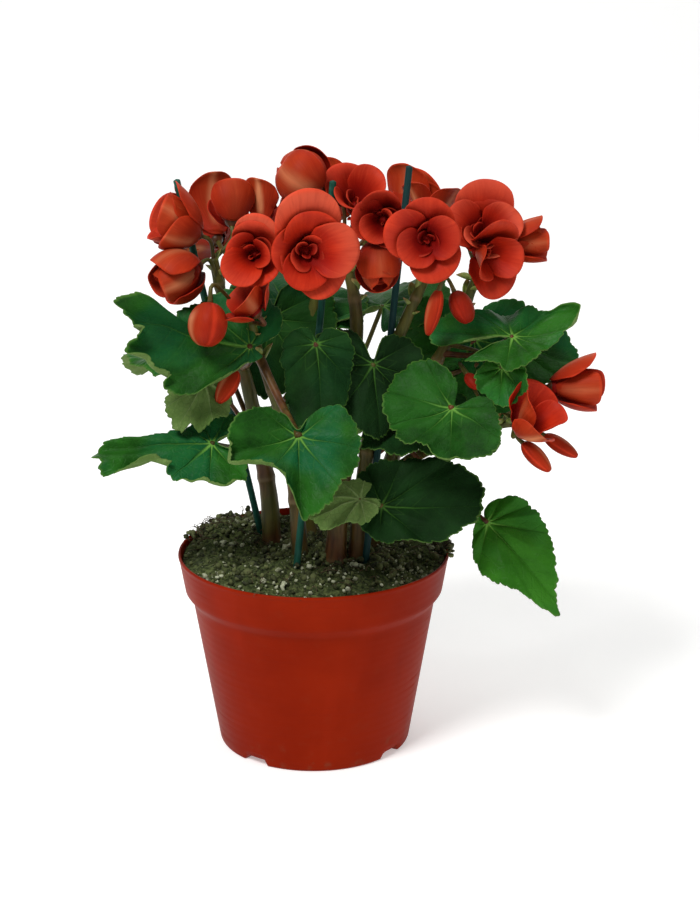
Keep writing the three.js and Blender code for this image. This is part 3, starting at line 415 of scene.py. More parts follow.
def closed_faces(sides, rows):
    """Faces of a wrapped grid, and triangles from each end to one of the two points that follow it."""
    k = np.arange(sides)
    after, last = (k + 1) % sides, (rows - 1) * sides
    return [grid_faces(sides, rows, wrap=True),
            np.stack([after, k, np.full(sides, rows * sides)], axis=1),
            np.stack([last + k, last + after, np.full(sides, rows * sides + 1)], axis=1)]


def edge_of(columns, rows):
    """The loop of points round the edge of a grid."""
    last = (rows - 1) * columns
    return np.concatenate([np.arange(columns), np.arange(1, rows) * columns + columns - 1,
                           last + np.arange(columns - 2, -1, -1), np.arange(rows - 2, 0, -1) * columns])


def tube(shape, path, radii, sides, squash=None, **values):
    """A tube of round section with closed ends along a path; squash(angle, row) scales the radius."""
    path, rows = np.asarray(path, float), len(path)
    radii = np.broadcast_to(radii, (rows,))
    tangents = np.gradient(path, axis=0)
    tangents /= np.linalg.norm(tangents, axis=1)[:, None]
    side = np.cross(tangents[0], [0.3, 0.9, 0.1])
    points = []
    angles = round_angles(sides)
    for i in range(rows):
        side = side - tangents[i] * (side @ tangents[i])
        side /= np.linalg.norm(side)
        up = np.cross(tangents[i], side)
        reach = radii[i] * (squash(angles, i) if squash else 1.0)
        points.append(path[i] + np.outer(reach * np.cos(angles), side) + np.outer(reach * np.sin(angles), up))
    bulges = [path[0] - tangents[0] * radii[0] * 0.4, path[-1] + tangents[-1] * radii[-1] * 0.4]
    points = np.vstack(points + bulges)
    share = np.concatenate([np.repeat(np.linspace(0, 1, rows), sides), [0, 1]])
    faces = closed_faces(sides, rows)
    return shape.add(points, faces, run=share, **values)


def round_angles(sides):
    """Even steps round a circle."""
    return np.arange(sides) * tau / sides


def turn_about(axis, angle):
    """Rotation matrix about one of the axes x, y, z."""
    c, s = cos(angle), sin(angle)
    return np.array({"x": [[1, 0, 0], [0, c, -s], [0, s, c]],
                     "y": [[c, 0, s], [0, 1, 0], [-s, 0, c]],
                     "z": [[c, -s, 0], [s, c, 0], [0, 0, 1]]}[axis])


# ---- Materials ----------------------------------------------------------------------------------

class Field:
    """A number, colour or normal that a material's nodes work out, with arithmetic."""

    def __init__(self, look, socket):
        self.look, self.socket = look, socket

    def __add__(self, other):
        return self.look.math("ADD", self, other)

    def __sub__(self, other):
        return self.look.math("SUBTRACT", self, other)

    def __mul__(self, other):
        return self.look.math("MULTIPLY", self, other)

    def __truediv__(self, other):
        return self.look.math("DIVIDE", self, other)

    def __abs__(self):
        return self.look.math("ABSOLUTE", self)

    def rise(self, low, high, start=0.0, end=1.0):
        """A smooth step from start to end as the value goes from low to high."""
        inputs = {"Value": self, "From Min": low, "From Max": high, "To Min": start, "To Max": end}
        return self.look.node("ShaderNodeMapRange", inputs, interpolation_type="SMOOTHSTEP")

    def between(self, a, b, low=0.3, high=0.7):
        """Colour a where the value is low, and colour b where it is high."""
        return self.rise(low, high).blend(a, b)

    def blend(self, a, b):
        """Colour a where the value is 0, and colour b where it is 1."""
        return self.look.node("ShaderNodeMix", {0: self, 6: a, 7: b}, 2, data_type="RGBA")


class Look:
    """A node material with short ways to add the nodes that this scene uses."""

    def __init__(self, name, roughness=0.5, **settings):
        self.material = bpy.data.materials.new(name)
        self.material.use_nodes = True
        self.tree = self.material.node_tree
        self.shader = self.tree.nodes["Principled BSDF"]
        self.shader.inputs["Roughness"].default_value = roughness
        for socket, value in settings.items():
            self.shader.inputs[socket.replace("_", " ")].default_value = value
        self.place = self.node("ShaderNodeTexCoord", output="Object")

    def node(self, kind, inputs=(), output=0, **properties):
        """Adds a node, and gives back one of its outputs."""
        made = self.tree.nodes.new(kind)
        for key, value in properties.items():
            setattr(made, key, value)
        for key, value in dict(inputs).items():
            self.feed(value, made.inputs[key])
        return Field(self, made.outputs[output])

    def feed(self, value, socket):
        if isinstance(value, Field):
            self.tree.links.new(value.socket, socket)
        elif isinstance(value, tuple) and len(value) == 3 and socket.type == "RGBA":
            socket.default_value = (*value, 1)
        else:
            socket.default_value = value

    def math(self, operation, a, b=0.0):
        return self.node("ShaderNodeMath", {0: a, 1: b}, operation=operation)

    def value(self, name):
        """A number kept at each of the mesh's points."""
        return self.node("ShaderNodeAttribute", output="Fac", attribute_name=name)

    def axis(self, vector, number):
        return self.node("ShaderNodeSeparateXYZ", {0: vector}, number)

    def noise(self, scale, detail=3, vector=None, roughness=0.55):
        inputs = {"Vector": vector or self.place, "Scale": scale, "Detail": detail, "Roughness": roughness}
        return self.node("ShaderNodeTexNoise", inputs)

    def cells(self, scale, feature="F1"):
        return self.node("ShaderNodeTexVoronoi", {"Vector": self.place, "Scale": scale}, feature=feature)

    def stretched(self, x, y, z):
        """The position scaled along each axis."""
        return self.node("ShaderNodeMapping", {"Vector": self.place, "Scale": (x, y, z)})

    def bump(self, height, depth, strength=1.0, under=None):
        inputs = {"Height": height, "Distance": depth, "Strength": strength}
        if under:
            inputs["Normal"] = under
        return self.node("ShaderNodeBump", inputs)

    def finish(self, colour, normal, roughness=None):
        self.feed(colour, self.shader.inputs["Base Color"])
        self.feed(normal, self.shader.inputs["Normal"])
        if roughness:
            self.feed(roughness, self.shader.inputs["Roughness"])
        return self.material


def leaf_look():
    look = Look("leaf", Specular_IOR_Level=0.06)
    out, under, bright = look.value("out"), look.value("under"), look.value("bright")
    patch, broad, wander = look.noise(38, 3), look.noise(21, 2), look.noise(22, 2)
    flat = look.node("ShaderNodeUVMap", uv_map="flat")
    x, y = look.axis(flat, 0), look.axis(flat, 1)
    radius = look.math("SQRT", x * x + y * y)
    turns = (look.math("ARCTAN2", y, x) + (wander - 0.5) * 0.16) / radians(VEIN_STEP)
    off = abs(turns - look.math("ROUND", turns)) * radians(VEIN_STEP)
    across, along = radius * look.math("SINE", off), radius * look.math("COSINE", off)
    # main veins taper to the margin, side veins leave them at a slant, and a fine net lies between
    main = (across / out.rise(0, 0.8, 0.85, 0.2)).rise(0.3, 1.25, 1, 0)
    slant = (along - across * 1.15) / 9.5 + wander * 1.4
    stripe = abs(look.math("FRACT", slant) - 0.5)
    side = stripe.rise(0.02, 0.06, 1, 0) * across.rise(0.5, 12, 1, 0.15)
    veins = look.math("MAXIMUM", main, side * 0.3)
    net = look.cells(330, "DISTANCE_TO_EDGE").rise(0.02, 0.16, 1, 0)
    # the upper side: green patches, fresher from leaf to leaf or darkened by painted shade, with pale veins
    # and edge
    top = patch.between((0.0070, 0.046, 0.0040), (0.0200, 0.118, 0.0105), 0.32, 0.68)
    # painted bluish sheen in broad patches, partly a bluer green of the leaf's own
    top = (broad.rise(0.45, 0.62) * look.value("teal")).blend(top, (0.0085, 0.105, 0.0330))
    top = (net * 0.12).blend(top, (0.030, 0.150, 0.018))
    top = bright.blend(top, patch.between((0.026, 0.135, 0.0075), (0.046, 0.190, 0.0130)))
    # painted shade: below 0 the value darkens the leaf to a very dark green
    top = (bright * -1).blend(top, patch.between((0.0030, 0.0130, 0.0026), (0.0066, 0.0290, 0.0058)))
    pale = out.between((0.15, 0.36, 0.055), (0.055, 0.180, 0.022), 0, 0.5)
    # painted shade dulls the pale veins of shaded leaves
    pale = (bright * -0.8).blend(pale, (0.018, 0.060, 0.010))
    top = (veins * out.rise(0.0, 0.75, 0.95, 0.22)).blend(top, pale)
    top = out.rise(0.968, 1.0, 0, 0.55).blend(top, (0.085, 0.190, 0.030))
    # the paler underside
    lower = patch.between((0.080, 0.150, 0.030), (0.150, 0.235, 0.066))
    lower = (veins * 0.75).blend(lower, (0.24, 0.33, 0.12))
    lower = (net * 0.25).blend(lower, (0.06, 0.13, 0.03))
    # painted shade darkens the underside of shaded leaves
    lower = (bright * -0.7).blend(lower, (0.050, 0.078, 0.022))
    blister = look.cells(125, "SMOOTH_F1").rise(0.0, 0.7, 1, 0)
    height = blister * 0.35 - veins * under.rise(0, 1, 0.8, -1.2) - net * 0.16
    fine = look.bump(look.noise(1500, 2), 0.00008, 0.5, look.bump(height, 0.0009, 0.7))
    gloss = under.rise(0, 1, 0.30, 0.62) + look.noise(90, 3) * 0.14 + bright.rise(0, -0.8, 0, 0.3)
    return look.finish(under.blend(top, lower), fine, gloss)


def petal_look():
    look = Look("petal", Specular_IOR_Level=0.07)
    across, along, outside = look.value("across"), look.value("along"), look.value("outside")
    pale, patch, side = look.value("pale"), look.noise(55, 2), abs(across)
    # veins fan out from the petal's foot
    fan = {0: across / (along + 0.45), 1: along * 0.12, 2: look.value("tint")}
    veins = look.noise(16, 3, look.node("ShaderNodeCombineXYZ", fan), 0.62)
    inner = patch.between((0.36, 0.0090, 0.0020), (0.52, 0.0230, 0.0045))
    inner = (along.rise(0.45, 0.9) * (pale * 0.6)).blend(inner, (0.68, 0.125, 0.062))
    # the inner side darkens towards the petal's foot: partly a deeper red of its own, partly painted shade
    inner = along.rise(0.0, 0.55, 0.75, 0.0).blend(inner, (0.20, 0.0050, 0.0030))
    outer = patch.between((0.29, 0.0155, 0.0034), (0.43, 0.0310, 0.0062))
    outer = side.rise(0.0, 0.8, 0.55, 0.0).blend(outer, (0.36, 0.0480, 0.0120))
    streak = (side + along * 0.25).rise(0.05, 0.42, 1, 0) * along.rise(0.1, 0.35)
    outer = (streak * pale).blend(outer, (0.72, 0.27, 0.12))
    colour = outside.blend(inner, outer)
    colour = veins.rise(0.46, 0.75, 0.0, 0.24).blend(colour, (0.24, 0.0060, 0.0030))
    colour = veins.rise(0.46, 0.26, 0.0, 0.14).blend(colour, (0.80, 0.095, 0.032))
    # painted highlight: a brighter red along the rims and tips, where curled edges catch the light
    rim = look.math("MAXIMUM", along.rise(0.9, 1.0), side.rise(0.84, 1.0))
    colour = (rim * 0.5).blend(colour, (0.76, 0.0500, 0.0150))
    # painted shade deep in the flower and on shaded buds, lighter at the rims where they catch the light
    deep = look.value("deep") * outside.rise(0, 1, 1, 0.45) * along.rise(0.8, 1.0, 0.95, 0.4)
    colour = deep.blend(colour, (0.17, 0.0035, 0.0022))
    fine = look.bump(look.noise(1900, 2), 0.00006, 0.35, look.bump(veins, 0.0005, 0.35))
    return look.finish(colour, fine, look.noise(130, 3) * 0.22 + 0.42)


def stem_look():
    look = Look("stem", Specular_IOR_Level=0.2)
    streaks, patch = look.noise(260, 3, look.stretched(1, 1, 0.12)), look.noise(60, 3)
    olive = streaks.between((0.040, 0.047, 0.007), (0.100, 0.098, 0.018))
    brown = streaks.between((0.048, 0.016, 0.006), (0.125, 0.042, 0.014))
    colour = (patch * 0.6 + look.value("red") * 0.7).between(olive, brown, 0.35, 0.85)
    colour = (look.value("scar") * 0.7).blend(colour, (0.16, 0.11, 0.05))
    colour = look.cells(600).rise(0.12, 0.03, 0, 0.35).blend(colour, (0.20, 0.17, 0.07))
    fine = look.bump(look.noise(1400, 2), 0.00010, 0.5, look.bump(streaks, 0.0006, 0.5))
    return look.finish(colour, fine, patch * 0.22 + 0.30)


def bract_look():
    look = Look("bract", Specular_IOR_Level=0.35)
    ribs = look.noise(420, 2, look.stretched(1, 1, 0.3))
    colour = ribs.between((0.10, 0.16, 0.025), (0.26, 0.30, 0.07))
    colour = look.value("run").rise(0.6, 1.0, 0, 0.6).blend(colour, (0.34, 0.10, 0.045))
    return look.finish(colour, look.bump(ribs, 0.0003, 0.6), ribs.rise(0, 1, 0.4, 0.6))


def pot_look():
    look = Look("pot_plastic", Specular_IOR_Level=0.03)
    z = look.axis(look.place, 2)
    drawn, cloud = look.noise(30, 4, look.stretched(1, 1, 0.25)), look.noise(14, 4)
    colour = cloud.between((0.200, 0.0098, 0.0008), (0.250, 0.0140, 0.0014))
    colour = drawn.rise(0.52, 0.8, 0, 0.35).blend(colour, (0.31, 0.0190, 0.0050))
    dust = look.noise(120, 5).rise(0.55, 0.75) * z.rise(0.03, 0.0, 0.06, 0.5)
    colour = dust.blend(colour, (0.17, 0.050, 0.024))
    specks = look.cells(260).rise(0.10, 0.03, 0, 0.5) * cloud.rise(0.45, 0.6)
    colour = specks.blend(colour, (0.13, 0.010, 0.0035))
    scratches = look.noise(170, 2, look.stretched(0.16, 0.16, 3)).rise(0.62, 0.7)
    rings = look.math("SINE", z * 1300)
    coarse = look.bump(rings * 0.15 + drawn, 0.00035, 0.5)
    fine = look.bump(look.noise(1100, 3) - scratches, 0.00006, 0.45, coarse)
    return look.finish(colour, fine, drawn.rise(0.2, 0.8, 0.34, 0.48) + scratches * 0.12)


def soil_look():
    look = Look("peat", Specular_IOR_Level=0.15)
    grain, damp = look.noise(420, 5), look.noise(60, 3)
    colour = grain.between((0.014, 0.0185, 0.0056), (0.110, 0.134, 0.045), 0.35, 0.68)
    colour = damp.rise(0.35, 0.7, 0, 0.5).blend(colour, (0.034, 0.052, 0.016))
    flecks = look.cells(520).rise(0.18, 0.06) * look.noise(330, 1).rise(0.45, 0.55)
    colour = flecks.blend(colour, (0.26, 0.26, 0.17))
    relief = grain + look.cells(700) * 0.5
    return look.finish(colour, look.bump(relief, 0.0012, 0.9), damp.rise(0.3, 0.7, 0.75, 1.0))


def grain_look(name, dark, light, scale=900):
    look = Look(name, Specular_IOR_Level=0.25)
    pits = look.noise(scale, 4)
    colour = (pits * 0.6 + look.value("tint") * 0.5).between(dark, light, 0.2, 0.8)
    return look.finish(colour, look.bump(pits, 0.0004, 0.8), pits.rise(0.3, 0.7, 0.7, 0.95))


def stake_look():
    look = Look("stained_stick", Specular_IOR_Level=0.15)
    fibres, run = look.noise(520, 4, look.stretched(1, 1, 0.06)), look.value("run")
    worn = look.noise(90, 4).rise(0.45, 0.75) * run.rise(0.3, 1.0, 0.25, 0.9)
    colour = fibres.between((0.0035, 0.042, 0.026), (0.008, 0.085, 0.055))
    colour = worn.blend(colour, (0.035, 0.120, 0.095))
    colour = (look.value("grey") * 0.75).blend(colour, (0.008, 0.030, 0.036))
    colour = run.rise(0.12, 0.02, 0, 0.5).blend(colour, (0.02, 0.022, 0.014))
    return look.finish(colour, look.bump(fibres, 0.0004, 0.7), fibres.rise(0.3, 0.7, 0.5, 0.7))


LEAF, PETAL, STEM, BRACT = leaf_look(), petal_look(), stem_look(), bract_look()
POT_PLASTIC, PEAT, STICK = pot_look(), soil_look(), stake_look()
PERLITE = grain_look("perlite", (0.15, 0.16, 0.085), (0.48, 0.50, 0.35))
CRUMB = grain_look("peat_crumbs", (0.011, 0.0140, 0.0048), (0.110, 0.125, 0.046), 600)
FIBRE = grain_look("root_fibres", (0.018, 0.011, 0.006), (0.085, 0.055, 0.030), 500)


# ---- Pot ----------------------------------------------------------------------------------------

BAND_BOTTOM = POT["height"] - POT["band_height"]
SHOULDER = BAND_BOTTOM - POT["shoulder_drop"]


def inner_radius(height):
    """Radius of the inside of the pot's wall."""
    knots = [0, SHOULDER, BAND_BOTTOM, POT["height"]]
    radii = [POT["base_radius"], POT["shoulder_radius"], POT["band_bottom_radius"], POT["rim_radius"]]
    return np.interp(height, knots, radii) - POT["wall"]


def build_pot():
    top, rim, base = POT["height"], POT["rim_radius"], POT["base_radius"]
    waist, band = POT["shoulder_radius"], POT["band_bottom_radius"]
    foot, foot_height = base + 0.1, 1.6
    outer = [(0, 0.6), (20, 0.5), (40, 0.35), (base - 5, 0.1), (base - 2.4, 0), (base - 1.1, 0.1),
             (base - 0.3, 0.6), (foot, foot_height)]
    outer += [(foot + (waist - foot) * t, foot_height + (SHOULDER - 4) * t) for t in np.linspace(0.04, 1, 26)]
    outer += [(waist + 0.25, SHOULDER - 0.7), (waist + 1.0, SHOULDER + 0.8)]
    outer += [(band - 0.9, BAND_BOTTOM - 1.0), (band - 0.15, BAND_BOTTOM + 0.2)]
    outer += [(band + (rim - 0.5 - band) * t, BAND_BOTTOM + 1 + (top - 3.2 - BAND_BOTTOM) * t)
              for t in np.linspace(0.03, 1, 10)]
    outer += [(rim - 0.1, top - 1.6), (rim, top - 1.0), (rim - 0.15, top - 0.35), (rim - 0.6, top),
              (rim - 1.2, top - 0.05)]
    depths = (top - 0.7, top - 3, top - 10, BAND_BOTTOM + 1, BAND_BOTTOM - 1, SHOULDER, 60, 30, 4)
    inner = [(inner_radius(z), z) for z in depths]
    profile = np.array(outer + inner + [(inner_radius(2) - 3, 2.2), (20, 2), (0, 2)])
    sides, step = 160, tau / POT["notches"]
    angles = round_angles(sides)
    turns = (angles[None, :] - radians(POT["notch_turn"] - 90)) % step
    from_notch = np.minimum(turns, step - turns) * base
    notch = np.clip((POT["notch_width"] / 2 + 1 - from_notch) / 2, 0, 1)
    radius, height = profile[:, :1], profile[:, 1:]
    lifted = POT["notch_height"] * np.clip((radius - base + 10) / 3, 0, 1)
    lifted = lifted * np.clip((3.6 - height) / 1.2, 0, 1)
    lifted[len(outer):] = 0
    heights = height + lifted * notch
    outward = radius * (1 + 0.0012 * np.sin(2 * angles + 0.7)[None, :] * np.clip(height / 90, 0, 1))
    rings = np.stack([outward * np.cos(angles), outward * np.sin(angles), heights], axis=2)[1:-1]
    points = np.vstack([rings.reshape(-1, 3), [[0, 0, profile[0, 1]], [0, 0, profile[-1, 1]]]])
    rows = len(profile) - 2
    faces = closed_faces(sides, rows)
    Shape().add(points, faces).build("pot_shell", POT_PLASTIC, "pot", ["pot"])


# ---- Soil ---------------------------------------------------------------------------------------

def mound(x, y):
    """Height of the soil's smooth surface."""
    away = np.minimum(1, np.hypot(x, y) / inner_radius(POT["height"]))
    humps = 1.4 * np.sin(x / 13 + 1) * np.cos(y / 15) + 1.1 * np.sin((x - y) / 9)
    fall = SOIL["mound_height"] - SOIL["edge_height"]
    height = SOIL["mound_height"] - fall * away ** 3 + humps * (1 - away ** 4)
    for hx, hy, rise, spread in SOIL["heaps"]:
        height = height + rise * np.exp(-((x - hx) ** 2 + (y - hy) ** 2) / spread ** 2)
    return height


WALL_GAP = 0.4
SOIL_REACH = inner_radius(SOIL["edge_height"]) - WALL_GAP


def build_mound():
    rings, sides = 64, 260
    angles = round_angles(sides)
    shares = np.linspace(0, 1, rings + 1)[1:] ** 0.8
    x = np.append(np.outer(shares * SOIL_REACH, np.cos(angles)), 0)
    y = np.append(np.outer(shares * SOIL_REACH, np.sin(angles)), 0)
    flat = np.stack([x, y, 0 * x], axis=1)
    clods = np.abs(noise(flat, 9, 1)) * 2.4 + np.abs(noise(flat, 4.2, 2)) * 2.2 + noise(flat, 1.9, 3)
    fade = np.clip((1 - np.hypot(x, y) / SOIL_REACH) * 14, 0.35, 1)
    top = np.stack([x, y, mound(x, y) + (clods - 1.3) * fade], axis=1)
    inwards = top[:-1].reshape(rings, sides, 3)[::-1].reshape(-1, 3)
    circle = np.stack([np.cos(angles), np.sin(angles), 0 * angles], axis=1)
    bottom = SOIL["bottom_height"]
    low, high = (circle * (inner_radius(h) - WALL_GAP) + [0, 0, h] for h in (bottom, SHOULDER))
    points = np.vstack([low, high, inwards, [[0, 0, bottom]], top[-1:]])
    faces = closed_faces(sides, rings + 2)
    Shape().add(points, faces).build("soil_mound", PEAT, "soil", ["soil"])


def make_ball():
    """Corners and faces of a ball of radius 1."""
    made = bmesh.new()
    bmesh.ops.create_icosphere(made, subdivisions=2, radius=1)
    corners = np.array([corner.co for corner in made.verts])
    faces = np.array([[corner.index for corner in face.verts] for face in made.faces])
    made.free()
    return corners, faces


BALL, BALL_FACES = make_ball()


def add_grain(shape, rng, at, size, rough, number):
    """A grain: a ball with lumps, flattened and turned at random."""
    lumps = noise(BALL * 10, 9, number) + 0.4 * noise(BALL * 10, 3.5, 3 * number)
    form = BALL * (1 + rough * lumps[:, None]) * rng.uniform(0.5, 1.0, 3) * size
    spin = turn_about("z", rng.uniform(0, tau)) @ turn_about("x", rng.uniform(0, tau))
    shape.add(form @ spin.T + at, [BALL_FACES], tint=rng.uniform(0, 1))


def scatter(rng, name, material, count, sizes, sink, rough, clusters):
    """Grains all over the soil, every second one of them near the middle of a cluster."""
    shape, limit = Shape(), SOIL_REACH * 0.985
    middles = rng.uniform(-0.8, 0.8, (clusters, 2)) * SOIL_REACH
    for k in range(count):
        away, angle = limit * np.sqrt(rng.uniform(0, 1)), rng.uniform(0, tau)
        x, y = away * cos(angle), away * sin(angle)
        if k % 2:
            near = middles[rng.integers(clusters)] + rng.normal(0, 6, 2)
            x, y = near * min(1, limit / max(np.hypot(*near), 1e-6))
        size = sizes[0] + (sizes[1] - sizes[0]) * rng.uniform(0, 1) ** 2.2
        z = mound(x, y) + size * sink + rng.uniform(0, 1.4)
        add_grain(shape, rng, (x, y, z), size, rough, k * 0.37)
    shape.build(name, material, "soil")


def build_spill(rng):
    """Crumbs pushed up against the rim and over it."""
    spill = Shape()
    for k in range(170):
        turn, spread, beyond = SPILLS[k % 2]
        angle = radians(rng.normal(turn, spread))
        away = SOIL_REACH + rng.uniform(-9, beyond)
        x, y = away * cos(angle), away * sin(angle)
        lift = rng.uniform(0, 4.5) * np.clip(1 - abs(away - SOIL_REACH) / 10, 0.1, 1)
        z = max(mound(x, y), POT["height"] - 0.5) + lift
        add_grain(spill, rng, (x, y, z), rng.uniform(0.8, 2.6), 0.5, k * 0.71)
    spill.build("spilt_crumbs", CRUMB, "soil")


def build_fibres(rng):
    """Fine roots: the first of them stick out of the spills, and the others lie anywhere on the soil."""
    fibres, steps = Shape(), np.linspace(0, 1, 9)
    for k in range(230):
        spilt = k < 110
        turn, spread, _ = SPILLS[k % 2]
        angle = radians(rng.normal(turn, spread)) if spilt else rng.uniform(0, tau)
        away = SOIL_REACH * (rng.uniform(0.9, 1.03) if spilt else np.sqrt(rng.uniform(0, 0.97)))
        x, y = away * cos(angle), away * sin(angle)
        heading = rng.uniform(0, tau) + rng.uniform(-1.4, 1.4) * steps
        along, rise = rng.uniform(5, 14) * steps, rng.uniform(-1, 4 if spilt else 1.5)
        z = mound(x, y) + rng.uniform(0.5, 3.0) + rng.uniform(0.5, 3.2) * np.sin(steps * pi) + rise * steps
        path = np.stack([x + np.cos(heading) * along, y + np.sin(heading) * along, z], axis=1)
        path[:, :2] *= np.minimum(1, (POT["rim_radius"] + 1.5) / np.hypot(path[:, 0], path[:, 1]))[:, None]
        tube(fibres, path, rng.uniform(0.13, 0.34) * (1 - 0.6 * steps), 5, tint=rng.uniform(0, 1))
    fibres.build("root_fibres", FIBRE, "soil")


def build_soil():
    rng = np.random.default_rng(11)
    build_mound()
    scatter(rng, "perlite_grains", PERLITE, 560, sizes=(0.4, 2.0), sink=0.35, rough=0.62, clusters=26)
    scatter(rng, "peat_crumbs", CRUMB, 1150, sizes=(0.7, 2.7), sink=0.15, rough=0.5, clusters=40)
    build_spill(rng)
    build_fibres(rng)


# ---- Stakes and stems ---------------------------------------------------------------------------

def build_stakes():
    for name, (low, high) in STAKES.items():
        low, high = np.array(low, float), np.array(high, float)
        foot = low + (high - low) * (STAKE["buried_to"] - low[2]) / (high - low)[2]
        share = np.concatenate([np.linspace(0, 0.995, 60), [0.9985, 1.0]])
        path = foot + np.outer(share, high - foot)
        path[:, :2] += np.stack([noise(path, 60, 4), noise(path, 55, 5)], axis=1) * 0.25
        radii = STAKE["radius"] * (1 + 0.03 * noise(path, 14, 6))
        radii[-1] *= 0.86
        stick = tube(Shape(), path, radii, 16, squash=lambda a, i: 1 + 0.03 * np.cos(3 * a + i * 0.05),
                     grey=float(name == "stake_right"))
        stick.build(name + "_stick", STICK, "stake", [name])


def bract(shape, at, heading, lift, length, width):
    """A small pointed, cupped scale leaf."""
    columns, rows = 7, 9
    a, s = np.meshgrid(np.linspace(-1, 1, columns), np.linspace(0, 1, rows))
    breadth = width / 2 * np.sin(pi * np.clip(s * 0.92 + 0.08, 0, 1)) ** 0.7 * (1 - 0.35 * s)
    up = 0.35 * width * a ** 2 * np.sin(pi * s) + 0.18 * length * s ** 2
    spin = turn_about("z", radians(heading)) @ turn_about("y", -radians(lift))
    points = np.stack([length * s, breadth * a, up], axis=2).reshape(-1, 3) @ spin.T + at
    shape.add_shell(points, [grid_faces(columns, rows)], edge_of(columns, rows), 0.35, "under", run=s.ravel())


def build_stems():
    """The stems, swollen and scarred at their nodes, with bracts there and below the flowers."""
    rng = np.random.default_rng(5)
    bracts, rows, sides = Shape(), 110, 18
    for name, stem in STEMS.items():
        path = smooth_path(stem["route"], rows)
        share = np.linspace(0, 1, rows)
        length = np.linalg.norm(np.diff(path, axis=0), axis=1).sum()
        path[:, :2] += np.stack([noise(path, 30, 7), noise(path, 26, 8)], axis=1) * 0.7
        first_node, spacing = 22, 37 + 6 * rng.uniform(-1, 1)
        nodes = np.arange(first_node, length, spacing)
        swell, scar = (sum(np.exp(-((share * length - k) / reach) ** 2) for k in nodes)
                       for reach in (2.6, 1.1))
        radii = (stem["foot"] + (stem["top"] - stem["foot"]) * share) * (1 + 0.14 * swell)
        radii = radii * (1 + 0.05 * noise(path, 11, 9))
        red = 0.15 + 0.75 * np.exp(-share * 6) + 0.3 * noise(path, 24, 10)
        stalk = tube(Shape(), path, radii, sides, squash=lambda a, i: 1 + 0.035 * np.cos(5 * a + i * 0.02),
                     red=np.append(np.repeat(red, sides), [0.5, 0.5]),
                     scar=np.append(np.repeat(scar, sides), [0, 0]))
        stalk.build(name + "_stalk", STEM, "stem", [name])
        for k in range(6):
            lift, heading = rng.uniform(5, 65), 140 * k + rng.uniform(0, 60)
            bract(bracts, path[-3 - 3 * k], heading, lift, length=rng.uniform(8, 15), width=rng.uniform(5, 9))
        for k in nodes[1:]:
            at = path[np.argmin(abs(share * length - k))]
            bract(bracts, at, rng.uniform(0, 360), 55, length=rng.uniform(5, 8), width=rng.uniform(3, 5))
    bracts.build("bracts", BRACT, "leaf")


# ---- Leaves -------------------------------------------------------------------------------------

def outline_of(leaf):
    """The margin's points as (degrees, distance, height), and the notch behind the petiole."""
    if "margin" in leaf:
        margin = leaf["margin"]
    else:
        margin = []
        for degrees, share in ROUND_LEAF:
            angle = radians(degrees)
            distance = leaf["length"] * share * (1 + 0.12 * leaf["side"] * sin(angle))
            ruffle = leaf["wave"] * sin(4 * angle + 2 * leaf["phase"])
            margin.append((degrees, distance, ruffle - 0.1 * distance))
    return list(margin) + [(180, LEAF_NOTCH, 0)]


# Shares of the way out to the margin, with how many points each ring has.
LEAF_RINGS = [(0.05, 36), (0.1, 36), (0.16, 72), (0.23, 72), (0.31, 144), (0.39, 144), (0.47, 144),
              (0.55, 144), (0.63, 144), (0.7, 288), (0.76, 288), (0.82, 288), (0.87, 288), (0.92, 576),
              (0.96, 576), (1.0, 576)]
MARGIN = LEAF_RINGS[-1][1]


def leaf_margin(leaf, number):
    """The margin's points, their distance from the petiole, the teeth, the waves, and how far it rolls."""
    rng = np.random.default_rng(100 + number)
    knots = [(d * cos(radians(a)), d * sin(radians(a)), h) for a, d, h in outline_of(leaf)]
    loop = smooth_path(knots, MARGIN, closed=True)
    distance = np.hypot(loop[:, 0], loop[:, 1])
    reach = distance.max()
    # uneven lobes, rounded teeth that lean to the tip, and smaller ones on their backs
    distance = distance * (1 + 0.055 * noise(loop, 13, number) + 0.02 * noise(loop, 6, number + 3))
    walked = np.append(0, np.cumsum(np.linalg.norm(np.diff(loop[:, :2], axis=0), axis=1)))
    tooth_pitch = rng.uniform(8.5, 10.5)
    pace = walked / tooth_pitch + 0.6 * noise(loop, 30, number)
    large, small = pace % 1, 2.6 * pace % 1
    tooth = 2.3 * (large ** 0.7 * (1 - large ** 7) - 0.5) + 1.5 * (small ** 0.8 * (1 - small ** 5) - 0.5)
    tooth = (tooth + 0.8 * noise(loop, 5, number + 5)) * np.clip(distance / (0.45 * reach), 0.1, 1)
    frill = rng.uniform(2.6, 4.2) * noise(loop, 15, number + 7) + 1.3 * noise(loop, 7, number + 9)
    degrees_round = np.degrees(np.arctan2(loop[:, 1], loop[:, 0]))
    roll = 0.22 * noise(loop, 26, number + 11)
    for centre, spread, amount in leaf.get("hems", ()):
        away = abs((degrees_round - centre + 180) % 360 - 180)
        share = np.clip((spread - away) / (0.4 * spread), 0, 1)
        share = share * share * (3 - 2 * share) * (1 + 0.25 * noise(loop, 8, number + 13))
        roll = roll * (1 - share) + amount * share
    return loop, distance, tooth, frill, roll


